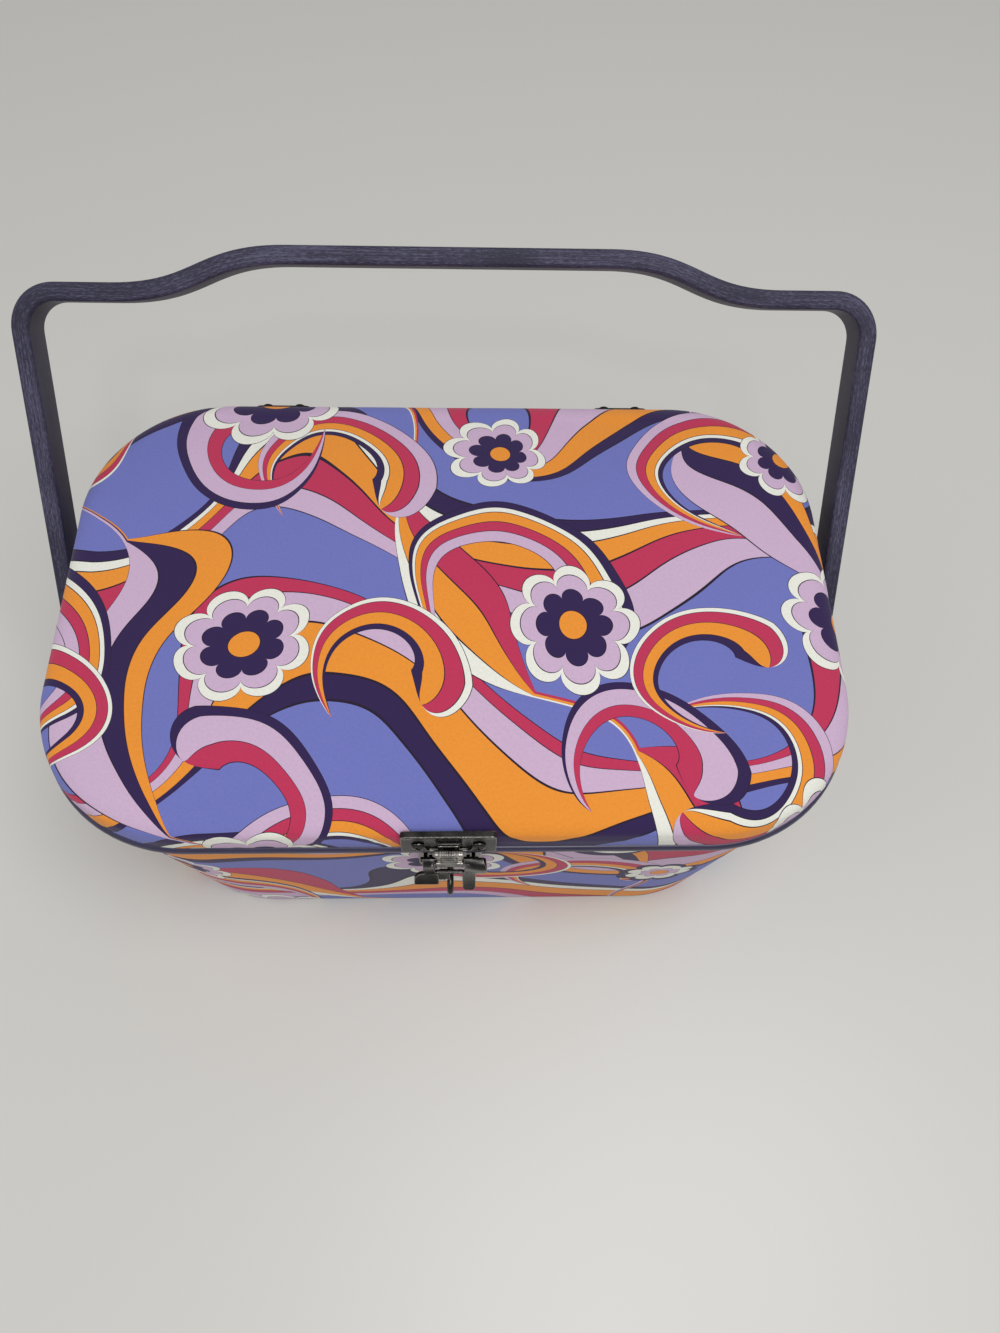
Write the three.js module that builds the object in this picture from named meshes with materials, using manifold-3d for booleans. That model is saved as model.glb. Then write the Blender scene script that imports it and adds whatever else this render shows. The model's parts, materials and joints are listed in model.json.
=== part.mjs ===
// Sewing basket: a cloth-covered box with a padded lid, a bent wooden carrying handle and a draw latch.
// Millimetres. +X is to the right, +Y to the back, +Z up, and the origin is the middle of the underside.

import * as THREE from 'three';
import { mergeVertices } from 'three/addons/utils/BufferGeometryUtils.js';
import Module from 'manifold-3d';

// Outer sizes of the lid, measured over its trim bead
const lidLength = 310;
const lidWidth = 200;
const lidCornerRadius = 60;
const lidSideHeight = 12.4;
const lidSideLean = 0.6;
const lidSoftRound = 11;
const lidSoftRise = 6.1;
const lidCrown = 9;

// Box below the lid: it tapers from the rim to the foot
const rimHeight = 122;
const rimOverhang = 2;
const footEndTaper = 10.5;
const footSideTaper = 8;
const footCornerRadius = 57;

// Layers of the walls
const seatGap = 0.3;
const coverThickness = 0.8;
const wallThickness = 2.5;
const liningThickness = 0.8;
const boardThickness = 2.5;
const boardInset = 1.6;
const floorThickness = 3;
const floorPadThickness = 3;
const undersideThickness = 1.6;
const undersideInset = 4;
const coverFootHeight = 0.8;

// Trim beads along the two rims
const trimProud = 1.5;
const trimHeight = 4.5;

// Lift-out tray and the ledges that carry it
const trayEndClearance = 1;
const traySideClearance = 2.5;
const trayCornerRadius = 42;
const trayHeight = 25;
const trayTopDrop = 10;
const trayWall = 1.6;
const trayFloor = 1.6;
const ledgeEndClearance = 1;
const ledgeHeight = 8;
const ledgeDepth = 5;

// Pincushion under the lid
const pincushionLength = 64;
const pincushionWidth = 42;
const pincushionDrop = 11;

// Handle: a bent wooden strip on two bolts
const handleWidth = 16;
const handleThickness = 7;
const handleReach = 151;
const handleRise = 14;
const handleSideRoom = 8;
const handleRaisedHalf = 78;
const handleShoulderHalf = 120;
const handleCornerRun = 15;
const handleEdge = 1;
const handleLean = THREE.MathUtils.degToRad(45);
const pivotDrop = 34;
const boltRadius = 2.9;
const boltHoleClearance = 0.3;
const boltHeadRadius = 6.5;
const boltHeadHeight = 2.6;
const bushLength = 8;
const bushRadius = 8.5;
const washerRadius = 7;
const washerThickness = 1.2;
const nutRadius = 5;
const nutHeight = 6;
const nutFloor = 1.5;

// Butt hinges on the back
const hingeSpacing = 150;
const hingeLeafWidth = 24;
const hingeLeafHeight = 13;
const hingeLeafThickness = 1.2;
const hingeBarrelRadius = 2.1;
const hingePinRadius = 0.9;
const hingePinHead = 0.8;
const hingeScrewSpacing = 14;
const hingeNeckRise = 2.6;

// Draw latch on the front
const latchPlateThickness = 1.4;
const hookPlateWidth = 34;
const hookPlateHeight = 13.6;
const hookPlateStandOff = 0.65;
const hookPlateLean = 1.5;
const hookScrewSpacing = 21.5;
const hookScrewRise = 5.8;
const tongueWidth = 5;
const tongueLength = 5.5;
const tongueThickness = 1.4;
const tongueRise = 2.2;
const bailWidth = 9.6;
const bailThickness = 1.6;
const bailBarHeight = 1.7;
const bailSide = 1.9;
const bailLift = 0.8;
const bailLean = 2.1;
const bailEyeRadius = 1.8;
const bailPinRadius = 0.8;
const bailStandOff = 3.7;
const leverPivotStandOff = 4.5;
const leverPivotDrop = 3.5;
const bailPivotDrop = 10.5;
const leverPinRadius = 1;
const leverWidth = 24;
const leverTopDrop = 9;
const leverFootDrop = 19;
const leverThickness = 1.3;
const leverStandOff = 5.5;
const leverCup = 1.6;
const leverCheekThickness = 1.4;
const leverCheekRim = 0.8;
const leverCheekSpacing = 13.8;
const broadFingerWidth = 8.5;
const broadFingerOffset = -9.6;
const narrowFingerWidth = 4.8;
const narrowFingerOffset = 5.7;
const broadFingerDrop = 24;
const narrowFingerDrop = 28;
const broadFingerFlare = 1.2;
const narrowFingerFlare = 3.5;
const latchBaseWidth = 24;
const latchBaseFoot = 31;
const latchBaseTop = 5.2;
const earThickness = 1.4;
const earSpacing = 17.8;
const stapleThickness = 2;
const stapleHeight = 10;
const stapleDrop = 25.5;
const stapleReach = 13.5;
const stapleWire = 2;
const latchScrewSpacing = 17;
const latchScrewDrop = 22;

// Small screws that hold the hinges and the latch
const screwRadius = 1.2;
const screwHeadRadius = 2.6;
const screwHeadHeight = 1.2;
const screwLength = 5;
const screwClearance = 0.3;

// Counts of facets and the overrun that every cut has
const cornerFacets = 7;
const beadFacets = 5;
const roundFacets = 4;
const rodSides = 12;
const smallSides = 8;
const curveFacets = 6;
const cutOverrun = 4;
const weldDistance = 1e-4;
const crownShares = [0.8, 0.52, 0.25, 0.04];
const domeShares = [1, 0.92, 0.7, 0.4, 0.05];

const axisX = new THREE.Vector3(1, 0, 0);
const axisY = new THREE.Vector3(0, 1, 0);
const axisZ = new THREE.Vector3(0, 0, 1);
const front = new THREE.Vector3(0, -1, 0);

const wasm = await Module();
wasm.setup();

const basket = new THREE.Group();

const materials = {
  printedCotton: { color: 0x6e74bb, roughness: 0.85, metalness: 0 },
  trim: { color: 0x2c2446, roughness: 0.35, metalness: 0 },
  card: { color: 0xb79a74, roughness: 0.9, metalness: 0 },
  padding: { color: 0xe9e4d6, roughness: 0.95, metalness: 0 },
  lining: { color: 0xcdb4d6, roughness: 0.6, metalness: 0 },
  underside: { color: 0x2a2533, roughness: 0.9, metalness: 0 },
  tray: { color: 0xe8e3ea, roughness: 0.4, metalness: 0 },
  paintedWood: { color: 0x33304e, roughness: 0.55, metalness: 0 },
  bush: { color: 0x26233a, roughness: 0.5, metalness: 0 },
  gunmetal: { color: 0x3f3d42, roughness: 0.38, metalness: 1 },
};

// Basic shapes

function welded(geometry) {
  const bare = geometry.clone();
  bare.deleteAttribute('normal');
  bare.deleteAttribute('uv');
  const merged = mergeVertices(bare, weldDistance);
  const corners = Array.from(merged.index.array);
  const kept = [];
  for (let i = 0; i < corners.length; i += 3) {
    const [a, b, c] = corners.slice(i, i + 3);
    if (a !== b && b !== c && c !== a) kept.push(a, b, c);
  }
  merged.setIndex(kept);
  if (volumeOf(merged) < 0) merged.setIndex(kept.reverse());
  return merged;
}

function volumeOf(geometry) {
  const corners = geometry.index.array;
  const place = geometry.attributes.position;
  const [a, b, c] = [new THREE.Vector3(), new THREE.Vector3(), new THREE.Vector3()];
  let total = 0;
  for (let i = 0; i < corners.length; i += 3) {
    a.fromBufferAttribute(place, corners[i]);
    b.fromBufferAttribute(place, corners[i + 1]);
    c.fromBufferAttribute(place, corners[i + 2]);
    total += a.dot(b.cross(c)) / 6;
  }
  return total;
}

function solidOf(geometry) {
  const shape = welded(geometry);
  const mesh = new wasm.Mesh({
    numProp: 3,
    vertProperties: new Float32Array(shape.attributes.position.array),
    triVerts: new Uint32Array(shape.index.array),
  });
  return new wasm.Manifold(mesh);
}

function geometryOf(solid) {
  const mesh = solid.getMesh();
  const geometry = new THREE.BufferGeometry();
  geometry.setAttribute('position', new THREE.BufferAttribute(mesh.vertProperties, 3));
  geometry.setIndex(new THREE.BufferAttribute(mesh.triVerts, 1));
  return geometry;
}

function cut(geometry, cutters) {
  return geometryOf(cutters.reduce((solid, cutter) => solid.subtract(solidOf(cutter)), solidOf(geometry)));
}

function join(geometries) {
  return geometryOf(geometries.map(solidOf).reduce((solid, other) => solid.add(other)));
}

function overlapOf(first, second) {
  return geometryOf(solidOf(first).intersect(solidOf(second)));
}

function rod(radius, length, at, direction, sides = rodSides) {
  const geometry = new THREE.CylinderGeometry(radius, radius, length, sides);
  geometry.rotateX(Math.PI / 2);
  return aimed(geometry, at, direction);
}

function turned(points, sides) {
  const geometry = new THREE.LatheGeometry(points, sides);
  geometry.rotateX(Math.PI / 2);
  return geometry;
}

function aimed(geometry, at, direction) {
  geometry.applyQuaternion(new THREE.Quaternion().setFromUnitVectors(axisZ, direction));
  geometry.translate(at.x, at.y, at.z);
  return geometry;
}

// A profile drawn in its own right and up directions, extruded evenly to both sides
function prism(shape, width, right, up, middle = new THREE.Vector3()) {
  const geometry = new THREE.ExtrudeGeometry(shape, { depth: width, bevelEnabled: false, curveSegments: curveFacets });
  geometry.translate(0, 0, -width / 2);
  const across = new THREE.Vector3().crossVectors(right, up);
  geometry.applyMatrix4(new THREE.Matrix4().makeBasis(right, up, across));
  geometry.translate(middle.x, middle.y, middle.z);
  return geometry;
}

function polygon(points) {
  return new THREE.Shape(points.map(([right, up]) => new THREE.Vector2(right, up)));
}

// Plans are rounded rectangles, and rings are plans at a height

function inset(plan, by) {
  return { length: plan.length - 2 * by, width: plan.width - 2 * by, radius: plan.radius - by };
}

function shrunk(plan, share) {
  return { length: plan.length * share, width: plan.width * share, radius: plan.radius * share };
}

function between(first, second, share) {
  return {
    length: THREE.MathUtils.lerp(first.length, second.length, share),
    width: THREE.MathUtils.lerp(first.width, second.width, share),
    radius: THREE.MathUtils.lerp(first.radius, second.radius, share),
  };
}

function ring(plan, height) {
  const points = [];
  for (let corner = 0; corner < 4; corner += 1) {
    const sideX = corner === 0 || corner === 3 ? 1 : -1;
    const sideY = corner < 2 ? 1 : -1;
    const middleX = sideX * (plan.length / 2 - plan.radius);
    const middleY = sideY * (plan.width / 2 - plan.radius);
    for (let facet = 0; facet <= cornerFacets; facet += 1) {
      const angle = (corner + facet / cornerFacets) * (Math.PI / 2);
      const x = middleX + plan.radius * Math.cos(angle);
      const y = middleY + plan.radius * Math.sin(angle);
      points.push(new THREE.Vector3(x, y, height));
    }
  }
  return points;
}

// A skin over a list of rings: looped like a tyre, or closed by a flat cap at each end
function skin(rings, looped = false) {
  const count = rings[0].length;
  const positions = rings.flat().flatMap((point) => point.toArray());
  const corners = [];
  const bands = looped ? rings.length : rings.length - 1;
  for (let band = 0; band < bands; band += 1) {
    const low = band * count;
    const high = ((band + 1) % rings.length) * count;
    for (let i = 0; i < count; i += 1) {
      const next = (i + 1) % count;
      corners.push(low + i, low + next, high + next, low + i, high + next, high + i);
    }
  }
  if (!looped) {
    const last = (rings.length - 1) * count;
    for (let i = 1; i < count - 1; i += 1) {
      corners.push(0, i + 1, i, last, last + i, last + i + 1);
    }
  }
  const geometry = new THREE.BufferGeometry();
  geometry.setAttribute('position', new THREE.Float32BufferAttribute(positions, 3));
  geometry.setIndex(corners);
  return welded(geometry);
}

function slab(plan, low, high) {
  return skin([ring(plan, low), ring(plan, high)]);
}

function addPiece(name, geometry, finish, parent = basket) {
  const material = new THREE.MeshStandardMaterial({ ...materials[finish], flatShading: true });
  const mesh = new THREE.Mesh(welded(geometry), material);
  mesh.name = name;
  parent.add(mesh);
  return mesh;
}

// Plans and reaches that several pieces share

const lidTrimPlan = { length: lidLength, width: lidWidth, radius: lidCornerRadius };
const lidSidePlan = inset(lidTrimPlan, trimProud);
const rimPlan = inset(lidSidePlan, rimOverhang);
const footPlan = {
  length: rimPlan.length - 2 * footEndTaper,
  width: rimPlan.width - 2 * footSideTaper,
  radius: footCornerRadius,
};
const wallInset = coverThickness + seatGap;
const liningInset = wallInset + wallThickness + seatGap;
const roomInset = liningInset + liningThickness;
const rimTop = rimHeight - seatGap / 2;
const lidFoot = rimHeight + seatGap / 2;

function basePlan(height, by = 0) {
  return inset(between(footPlan, rimPlan, height / rimHeight), by);
}

function baseReach(height) {
  return basePlan(height).width / 2;
}

const pivotHeight = rimHeight - pivotDrop;
const pivotReach = basePlan(pivotHeight + bushRadius).length / 2;
const nutReach = basePlan(pivotHeight - washerRadius, roomInset).length / 2;
const nutMouth = nutReach - 2 * seatGap - washerThickness;

// Holes for the screws and bolts, cut through every layer that they pass

function frontPoint(x, reach, height) {
  return new THREE.Vector3(x, -reach, height);
}

function backPoint(x, reach, height) {
  return new THREE.Vector3(x, reach, height);
}

const hookPlateTilt = Math.atan2(hookPlateLean, hookPlateHeight);
const hookPlateFootReach = lidSidePlan.width / 2 + hookPlateStandOff;
const hookPlateFoot = lidFoot + trimHeight + seatGap;
const hookScrewOut = new THREE.Vector3(0, -Math.cos(hookPlateTilt), Math.sin(hookPlateTilt));

function hookPlateReach(rise) {
  return hookPlateFootReach - rise * Math.tan(hookPlateTilt);
}

const hookScrews = [-1, 1].map((side) => ({
  seat: frontPoint(
    side * hookScrewSpacing / 2, hookPlateReach(hookScrewRise) + latchPlateThickness, hookPlateFoot + hookScrewRise),
  out: hookScrewOut,
}));

const latchBaseScrews = [-1, 1].map((side) => {
  const height = rimHeight - latchScrewDrop;
  return {
    seat: frontPoint(side * latchScrewSpacing / 2, baseReach(height) + seatGap + latchPlateThickness, height),
    out: front,
  };
});

const hingeReach = lidWidth / 2 + seatGap + hingeBarrelRadius;
const hingeMiddles = [-hingeSpacing / 2, hingeSpacing / 2];
const hingeLidScrewHeight = rimHeight + hingeLeafHeight - screwHeadRadius - screwHeadHeight;
const hingeBaseScrewHeight = rimHeight - hingeLeafHeight;
const hingeLeafTopReach = lidSidePlan.width / 2 - lidSideLean + seatGap;
const hingeLeafFootReach = lidWidth / 2 + 2 * seatGap;

const hingeLeafSlope = (hingeLeafFootReach - hingeLeafTopReach) / (hingeLeafHeight - hingeNeckRise);
const hingeLidScrewOut = new THREE.Vector3(0, 1, hingeLeafSlope).normalize();

function hingeScrewsAt(height, reach, out) {
  return hingeMiddles.flatMap((middle) => [-1, 1].map((side) => ({
    seat: backPoint(middle + side * hingeScrewSpacing / 2, reach, height),
    out,
  })));
}

const hingeLidScrewReach = hingeLeafTopReach + hingeLeafThickness
  + hingeLeafSlope * (rimHeight + hingeLeafHeight - hingeLidScrewHeight);
const hingeLidScrews = hingeScrewsAt(hingeLidScrewHeight, hingeLidScrewReach, hingeLidScrewOut);
const hingeBaseScrewReach = baseReach(hingeBaseScrewHeight) + seatGap + hingeLeafThickness;
const hingeBaseScrews = hingeScrewsAt(hingeBaseScrewHeight, hingeBaseScrewReach, axisY);

function screwHole(screw) {
  return rod(screwRadius + screwClearance, 2 * (screwLength + cutOverrun), screw.seat, screw.out, smallSides);
}

function screwBody(screw) {
  const shank = screwLength - screwHeadHeight;
  const profile = [
    new THREE.Vector2(0, -shank),
    new THREE.Vector2(screwRadius, -shank),
    new THREE.Vector2(screwRadius, screwClearance),
    new THREE.Vector2(screwHeadRadius, screwClearance),
    new THREE.Vector2(screwHeadRadius, screwClearance + screwHeadHeight / 2),
    new THREE.Vector2(screwHeadRadius / 2, screwClearance + screwHeadHeight),
    new THREE.Vector2(0, screwClearance + screwHeadHeight),
  ];
  return aimed(turned(profile, smallSides), screw.seat, screw.out);
}

function addScrews(name, screws) {
  screws.forEach((screw, i) => addPiece(`${name}_${i + 1}`, screwBody(screw), 'gunmetal'));
}

const boltHole = rod(boltRadius + boltHoleClearance, 2 * lidLength, new THREE.Vector3(0, 0, pivotHeight), axisX);

// Box: card wall, printed cover, lining, floor and underside

function wallRing(outerInset, innerInset, low, high) {
  return skin([
    ring(basePlan(low, outerInset), low),
    ring(basePlan(high, outerInset), high),
    ring(basePlan(high, innerInset), high),
    ring(basePlan(low, innerInset), low),
  ], true);
}

const wallFoot = undersideThickness + seatGap;
const floorTop = wallFoot + floorThickness;
const floorPadTop = floorTop + seatGap + floorPadThickness;
const wallTop = rimTop - coverThickness;
const wallHoles = [boltHole, ...latchBaseScrews.map(screwHole), ...hingeBaseScrews.map(screwHole)];

function addBox() {
  const board = basePlan(wallFoot, wallInset + wallThickness + seatGap);
  addPiece('underside_panel', slab(inset(footPlan, undersideInset), 0, undersideThickness), 'underside');
  addPiece('base_floor_board', slab(board, wallFoot, floorTop), 'card');
  addPiece('base_wall', cut(wallRing(wallInset, wallInset + wallThickness, wallFoot, wallTop), wallHoles), 'card');
  addPiece('base_cover', cut(wallRing(0, coverThickness, coverFootHeight, wallTop), wallHoles), 'printedCotton');
  const liningFoot = floorTop + seatGap;
  addPiece('base_wall_lining', cut(wallRing(liningInset, roomInset, liningFoot, wallTop), wallHoles), 'lining');
  const pad = basePlan(floorTop, roomInset + seatGap);
  const padRings = [
    ring(pad, floorTop + seatGap),
    ring(pad, floorPadTop - coverThickness),
    ring(inset(pad, floorPadThickness), floorPadTop),
  ];
  addPiece('floor_pad', skin(padRings), 'lining');
}

// Trim beads: a half-round face on a flat back, lapped over the raw edge of the rim
function trimRing(plan, low, high) {
  const rings = [];
  for (let facet = 0; facet <= beadFacets; facet += 1) {
    const angle = -Math.PI / 2 + (facet / beadFacets) * Math.PI;
    const height = THREE.MathUtils.lerp(low, high, (1 + Math.sin(angle)) / 2);
    rings.push(ring(inset(plan, -trimProud * Math.cos(angle)), height));
  }
  const back = inset(plan, -seatGap);
  rings[0] = ring(back, low);
  rings[beadFacets] = ring(back, high);
  return skin(rings, true);
}

function addTrims() {
  addPiece('base_rim_trim', trimRing(basePlan(rimHeight - trimHeight / 2), rimTop - trimHeight, rimTop), 'trim');
  addPiece('lid_trim', trimRing(lidSidePlan, lidFoot, lidFoot + trimHeight), 'trim');
}

// Lid: card band and board, padding, printed cover and lining

const lidSideTop = rimHeight + lidSideHeight;
const lidCoverFoot = lidFoot + seatGap;
const bandFoot = lidFoot + coverThickness;
const boardFoot = lidSideTop + seatGap;
const boardTop = boardFoot + boardThickness;

// Rings of the lid's outer surface moved inwards by a depth, from a start angle on the soft round up
function lidRings(depth, startAngle) {
  const rings = [];
  for (let facet = 0; facet <= roundFacets; facet += 1) {
    const angle = THREE.MathUtils.lerp(startAngle, Math.PI / 2, facet / roundFacets);
    const inwards = lidSideLean + lidSoftRound * (1 - Math.cos(angle)) + depth * Math.cos(angle);
    const height = lidSideTop + (lidSoftRise - depth) * Math.sin(angle);
    rings.push(ring(inset(lidSidePlan, inwards), height));
  }
  const top = inset(lidSidePlan, lidSideLean + lidSoftRound);
  for (const share of crownShares) {
    const height = lidSideTop + lidSoftRise - depth + lidCrown * (1 - share * share);
    rings.push(ring(shrunk(top, share), height));
  }
  return rings;
}

function addLid() {
  const holes = [...hookScrews, ...hingeLidScrews].map(screwHole);
  const coverOuter = [ring(lidSidePlan, lidCoverFoot), ...lidRings(0, 0)];
  const coverInner = [ring(inset(lidSidePlan, coverThickness), lidCoverFoot), ...lidRings(coverThickness, 0)];
  const cover = skin([...coverOuter.reverse(), ...coverInner]);
  addPiece('lid_cover', cut(cover, holes), 'printedCotton');

  const padDepth = coverThickness + seatGap;
  const padStart = Math.asin((boardThickness + 2 * seatGap + padDepth) / lidSoftRise);
  addPiece('lid_padding', skin(lidRings(padDepth, padStart)), 'padding');

  const bandOuter = inset(lidSidePlan, lidSideLean + wallInset);
  const bandInner = inset(bandOuter, wallThickness);
  const band = skin([
    ring(bandOuter, bandFoot),
    ring(bandOuter, lidSideTop),
    ring(bandInner, lidSideTop),
    ring(bandInner, bandFoot),
  ], true);
  addPiece('lid_band', cut(band, holes), 'card');
  addPiece('lid_board', slab(inset(bandOuter, boardInset), boardFoot, boardTop), 'card');

  const liningOuter = inset(bandInner, seatGap);
  const liningInner = inset(liningOuter, liningThickness);
  const liningTop = boardFoot - seatGap;
  const lining = skin([
    ring(liningOuter, liningTop),
    ring(liningOuter, bandFoot),
    ring(liningInner, bandFoot),
    ring(liningInner, liningTop - liningThickness),
  ]);
  addPiece('lid_lining', cut(lining, holes), 'lining');
  addPincushion(liningTop - liningThickness - seatGap);
}

function addPincushion(top) {
  const plan = { length: pincushionLength, width: pincushionWidth, radius: pincushionWidth / 2 };
  const rings = domeShares.map((share) => {
    const drop = pincushionDrop * Math.sqrt(1 - share * share);
    return ring(shrunk(plan, share), top - liningThickness - drop);
  });
  addPiece('pincushion', skin([ring(plan, top), ...rings]), 'padding');
}

// Lift-out tray with six compartments, on two ledges

const trayTop = rimHeight - trayTopDrop;
const trayFoot = trayTop - trayHeight;
const trayLength = 2 * (nutMouth - nutHeight - trayEndClearance);
const trayWidth = basePlan(trayFoot, roomInset + traySideClearance).width;
const trayColumnShares = [0.36, 0.34, 0.3];
const trayRows = [1, 2, 3];

function addTray() {
  const plan = { length: trayLength, width: trayWidth, radius: trayCornerRadius };
  const inner = slab(inset(plan, trayWall), trayFoot + trayFloor, trayTop + cutOverrun);
  const roomLength = trayLength - trayWall;
  const roomWidth = trayWidth - trayWall;
  const cells = [];
  let left = -roomLength / 2;
  trayColumnShares.forEach((share, column) => {
    const cellLength = roomLength * share;
    const cellWidth = roomWidth / trayRows[column];
    for (let row = 0; row < trayRows[column]; row += 1) {
      const box = new THREE.BoxGeometry(cellLength - trayWall, cellWidth - trayWall, 2 * trayHeight);
      box.translate(left + cellLength / 2, -roomWidth / 2 + (row + 1 / 2) * cellWidth, trayTop);
      cells.push(overlapOf(inner, box));
    }
    left += cellLength;
  });
  addPiece('sewing_tray', cut(slab(plan, trayFoot, trayTop), cells), 'tray');

  const ledgeTop = trayFoot - seatGap;
  const ledgeFoot = ledgeTop - ledgeHeight;
  const room = basePlan(ledgeFoot, roomInset + seatGap);
  const ledgeReach = room.width / 2;
  const ledgeLength = room.length - 2 * (room.radius + ledgeEndClearance);
  for (const [name, side] of [['tray_ledge_front', -1], ['tray_ledge_back', 1]]) {
    const ledge = new THREE.BoxGeometry(ledgeLength, ledgeDepth, ledgeHeight);
    ledge.translate(0, side * (ledgeReach - ledgeDepth / 2), ledgeTop - ledgeHeight / 2);
    addPiece(name, ledge, 'lining');
  }
}

// Handle, its bolts and the bushes that space it off the box

const bushInnerReach = pivotReach + seatGap;
const bushOuterReach = bushInnerReach + bushLength;
const handleFootHalf = bushOuterReach + seatGap;
const handleTopHalf = lidLength / 2 + handleSideRoom;
const handleSlope = (handleTopHalf - handleFootHalf) / (handleReach + handleWidth / 2);

function handleOutline() {
  const outline = new THREE.Shape();
  const drawSide = (side, offset, draw) => {
    const armHalf = (rise) => side * (handleFootHalf + offset + handleSlope * (rise + handleWidth / 2));
    const low = handleReach - handleThickness + offset;
    const high = low + handleRise;
    const run = handleCornerRun - handleThickness + offset;
    const middle = side * (handleRaisedHalf + handleShoulderHalf) / 2;
    const foot = new THREE.Vector2(armHalf(-handleWidth / 2), -handleWidth / 2);
    const bendStart = new THREE.Vector2(armHalf(low - run), low - run);
    const bend = new THREE.Vector2(armHalf(low), low);
    const bendEnd = new THREE.Vector2(armHalf(low) - side * run, low);
    const shoulder = new THREE.Vector2(side * handleShoulderHalf, low);
    const raised = new THREE.Vector2(side * handleRaisedHalf, high);
    draw({ foot, bendStart, bend, bendEnd, shoulder, raised, middle });
  };
  const climb = ({ bendStart, bend, bendEnd, shoulder, raised, middle }) => {
    outline.lineTo(bendStart.x, bendStart.y);
    outline.quadraticCurveTo(bend.x, bend.y, bendEnd.x, bendEnd.y);
    outline.lineTo(shoulder.x, shoulder.y);
    outline.bezierCurveTo(middle, shoulder.y, middle, raised.y, raised.x, raised.y);
  };
  const descend = ({ foot, bendStart, bend, bendEnd, shoulder, raised, middle }) => {
    outline.lineTo(raised.x, raised.y);
    outline.bezierCurveTo(middle, raised.y, middle, shoulder.y, shoulder.x, shoulder.y);
    outline.lineTo(bendEnd.x, bendEnd.y);
    outline.quadraticCurveTo(bend.x, bend.y, bendStart.x, bendStart.y);
    outline.lineTo(foot.x, foot.y);
  };
  drawSide(-1, handleThickness, (points) => {
    outline.moveTo(points.foot.x, points.foot.y);
    climb(points);
  });
  drawSide(1, handleThickness, descend);
  drawSide(1, 0, (points) => {
    outline.lineTo(points.foot.x, points.foot.y);
    climb(points);
  });
  drawSide(-1, 0, descend);
  outline.closePath();
  return outline;
}

function handleBow() {
  const bow = new THREE.ExtrudeGeometry(handleOutline(), {
    depth: handleWidth - 2 * handleEdge,
    bevelThickness: handleEdge,
    bevelSize: handleEdge,
    bevelOffset: -handleEdge,
    bevelSegments: 1,
    curveSegments: curveFacets,
  });
  bow.translate(0, 0, handleEdge - handleWidth / 2);
  bow.rotateX(Math.PI / 2);

  // The side view of the strip: straight, with a round foot about the bolt
  const side = new THREE.Shape();
  const top = handleReach + handleRise + cutOverrun;
  side.moveTo(handleWidth / 2, top);
  side.lineTo(-handleWidth / 2, top);
  side.absarc(0, 0, handleWidth / 2, Math.PI, 2 * Math.PI, false);
  side.closePath();
  const rounded = overlapOf(bow, prism(side, 2 * lidLength, axisY, axisZ));
  return cut(rounded, [rod(boltRadius + boltHoleClearance, 2 * lidLength, new THREE.Vector3(), axisX)]);
}

function addHandle() {
  const handle = new THREE.Group();
  handle.position.set(0, 0, pivotHeight);
  handle.rotation.x = -handleLean;
  basket.add(handle);
  addPiece('handle_bow', handleBow(), 'paintedWood', handle);

  const shankEnd = nutMouth - nutHeight + nutFloor + seatGap;
  const headSeat = handleFootHalf + handleThickness + seatGap + handleSlope * (handleWidth / 2 + boltHeadRadius);
  for (const [name, sideSign] of [['left', -1], ['right', 1]]) {
    const out = axisX.clone().multiplyScalar(sideSign);
    const at = (reach) => new THREE.Vector3(sideSign * reach, 0, pivotHeight);
    const bushMiddle = at((bushInnerReach + bushOuterReach) / 2);
    const bush = cut(rod(bushRadius, bushLength, bushMiddle, out), [boltHole]);
    addPiece(`handle_bush_${name}`, bush, 'bush');

    const headPoints = [
      new THREE.Vector2(0, shankEnd),
      new THREE.Vector2(boltRadius, shankEnd),
      new THREE.Vector2(boltRadius, headSeat),
      new THREE.Vector2(boltHeadRadius, headSeat),
      new THREE.Vector2(boltHeadRadius, headSeat + boltHeadHeight / 2),
      new THREE.Vector2(boltHeadRadius / 2, headSeat + boltHeadHeight),
      new THREE.Vector2(0, headSeat + boltHeadHeight),
    ];
    addPiece(`handle_bolt_${name}`, aimed(turned(headPoints, rodSides), at(0), out), 'gunmetal');

    const washerReach = nutReach - seatGap - washerThickness / 2;
    const washer = cut(rod(washerRadius, washerThickness, at(washerReach), out), [boltHole]);
    addPiece(`inner_washer_${name}`, washer, 'gunmetal');

    const nutPoints = [
      new THREE.Vector2(0, nutMouth - nutHeight),
      new THREE.Vector2(nutRadius / 2, nutMouth - nutHeight),
      new THREE.Vector2(nutRadius, nutMouth - nutHeight / 2),
      new THREE.Vector2(nutRadius, nutMouth),
      new THREE.Vector2(boltRadius + boltHoleClearance, nutMouth),
      new THREE.Vector2(boltRadius + boltHoleClearance, nutMouth - nutHeight + nutFloor),
      new THREE.Vector2(0, nutMouth - nutHeight + nutFloor),
    ];
    addPiece(`cap_nut_${name}`, aimed(turned(nutPoints, rodSides), at(0), out), 'gunmetal');
  }
}

// Butt hinges: the lid's leaf has the middle knuckle and the box's leaf the two outer ones

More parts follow.
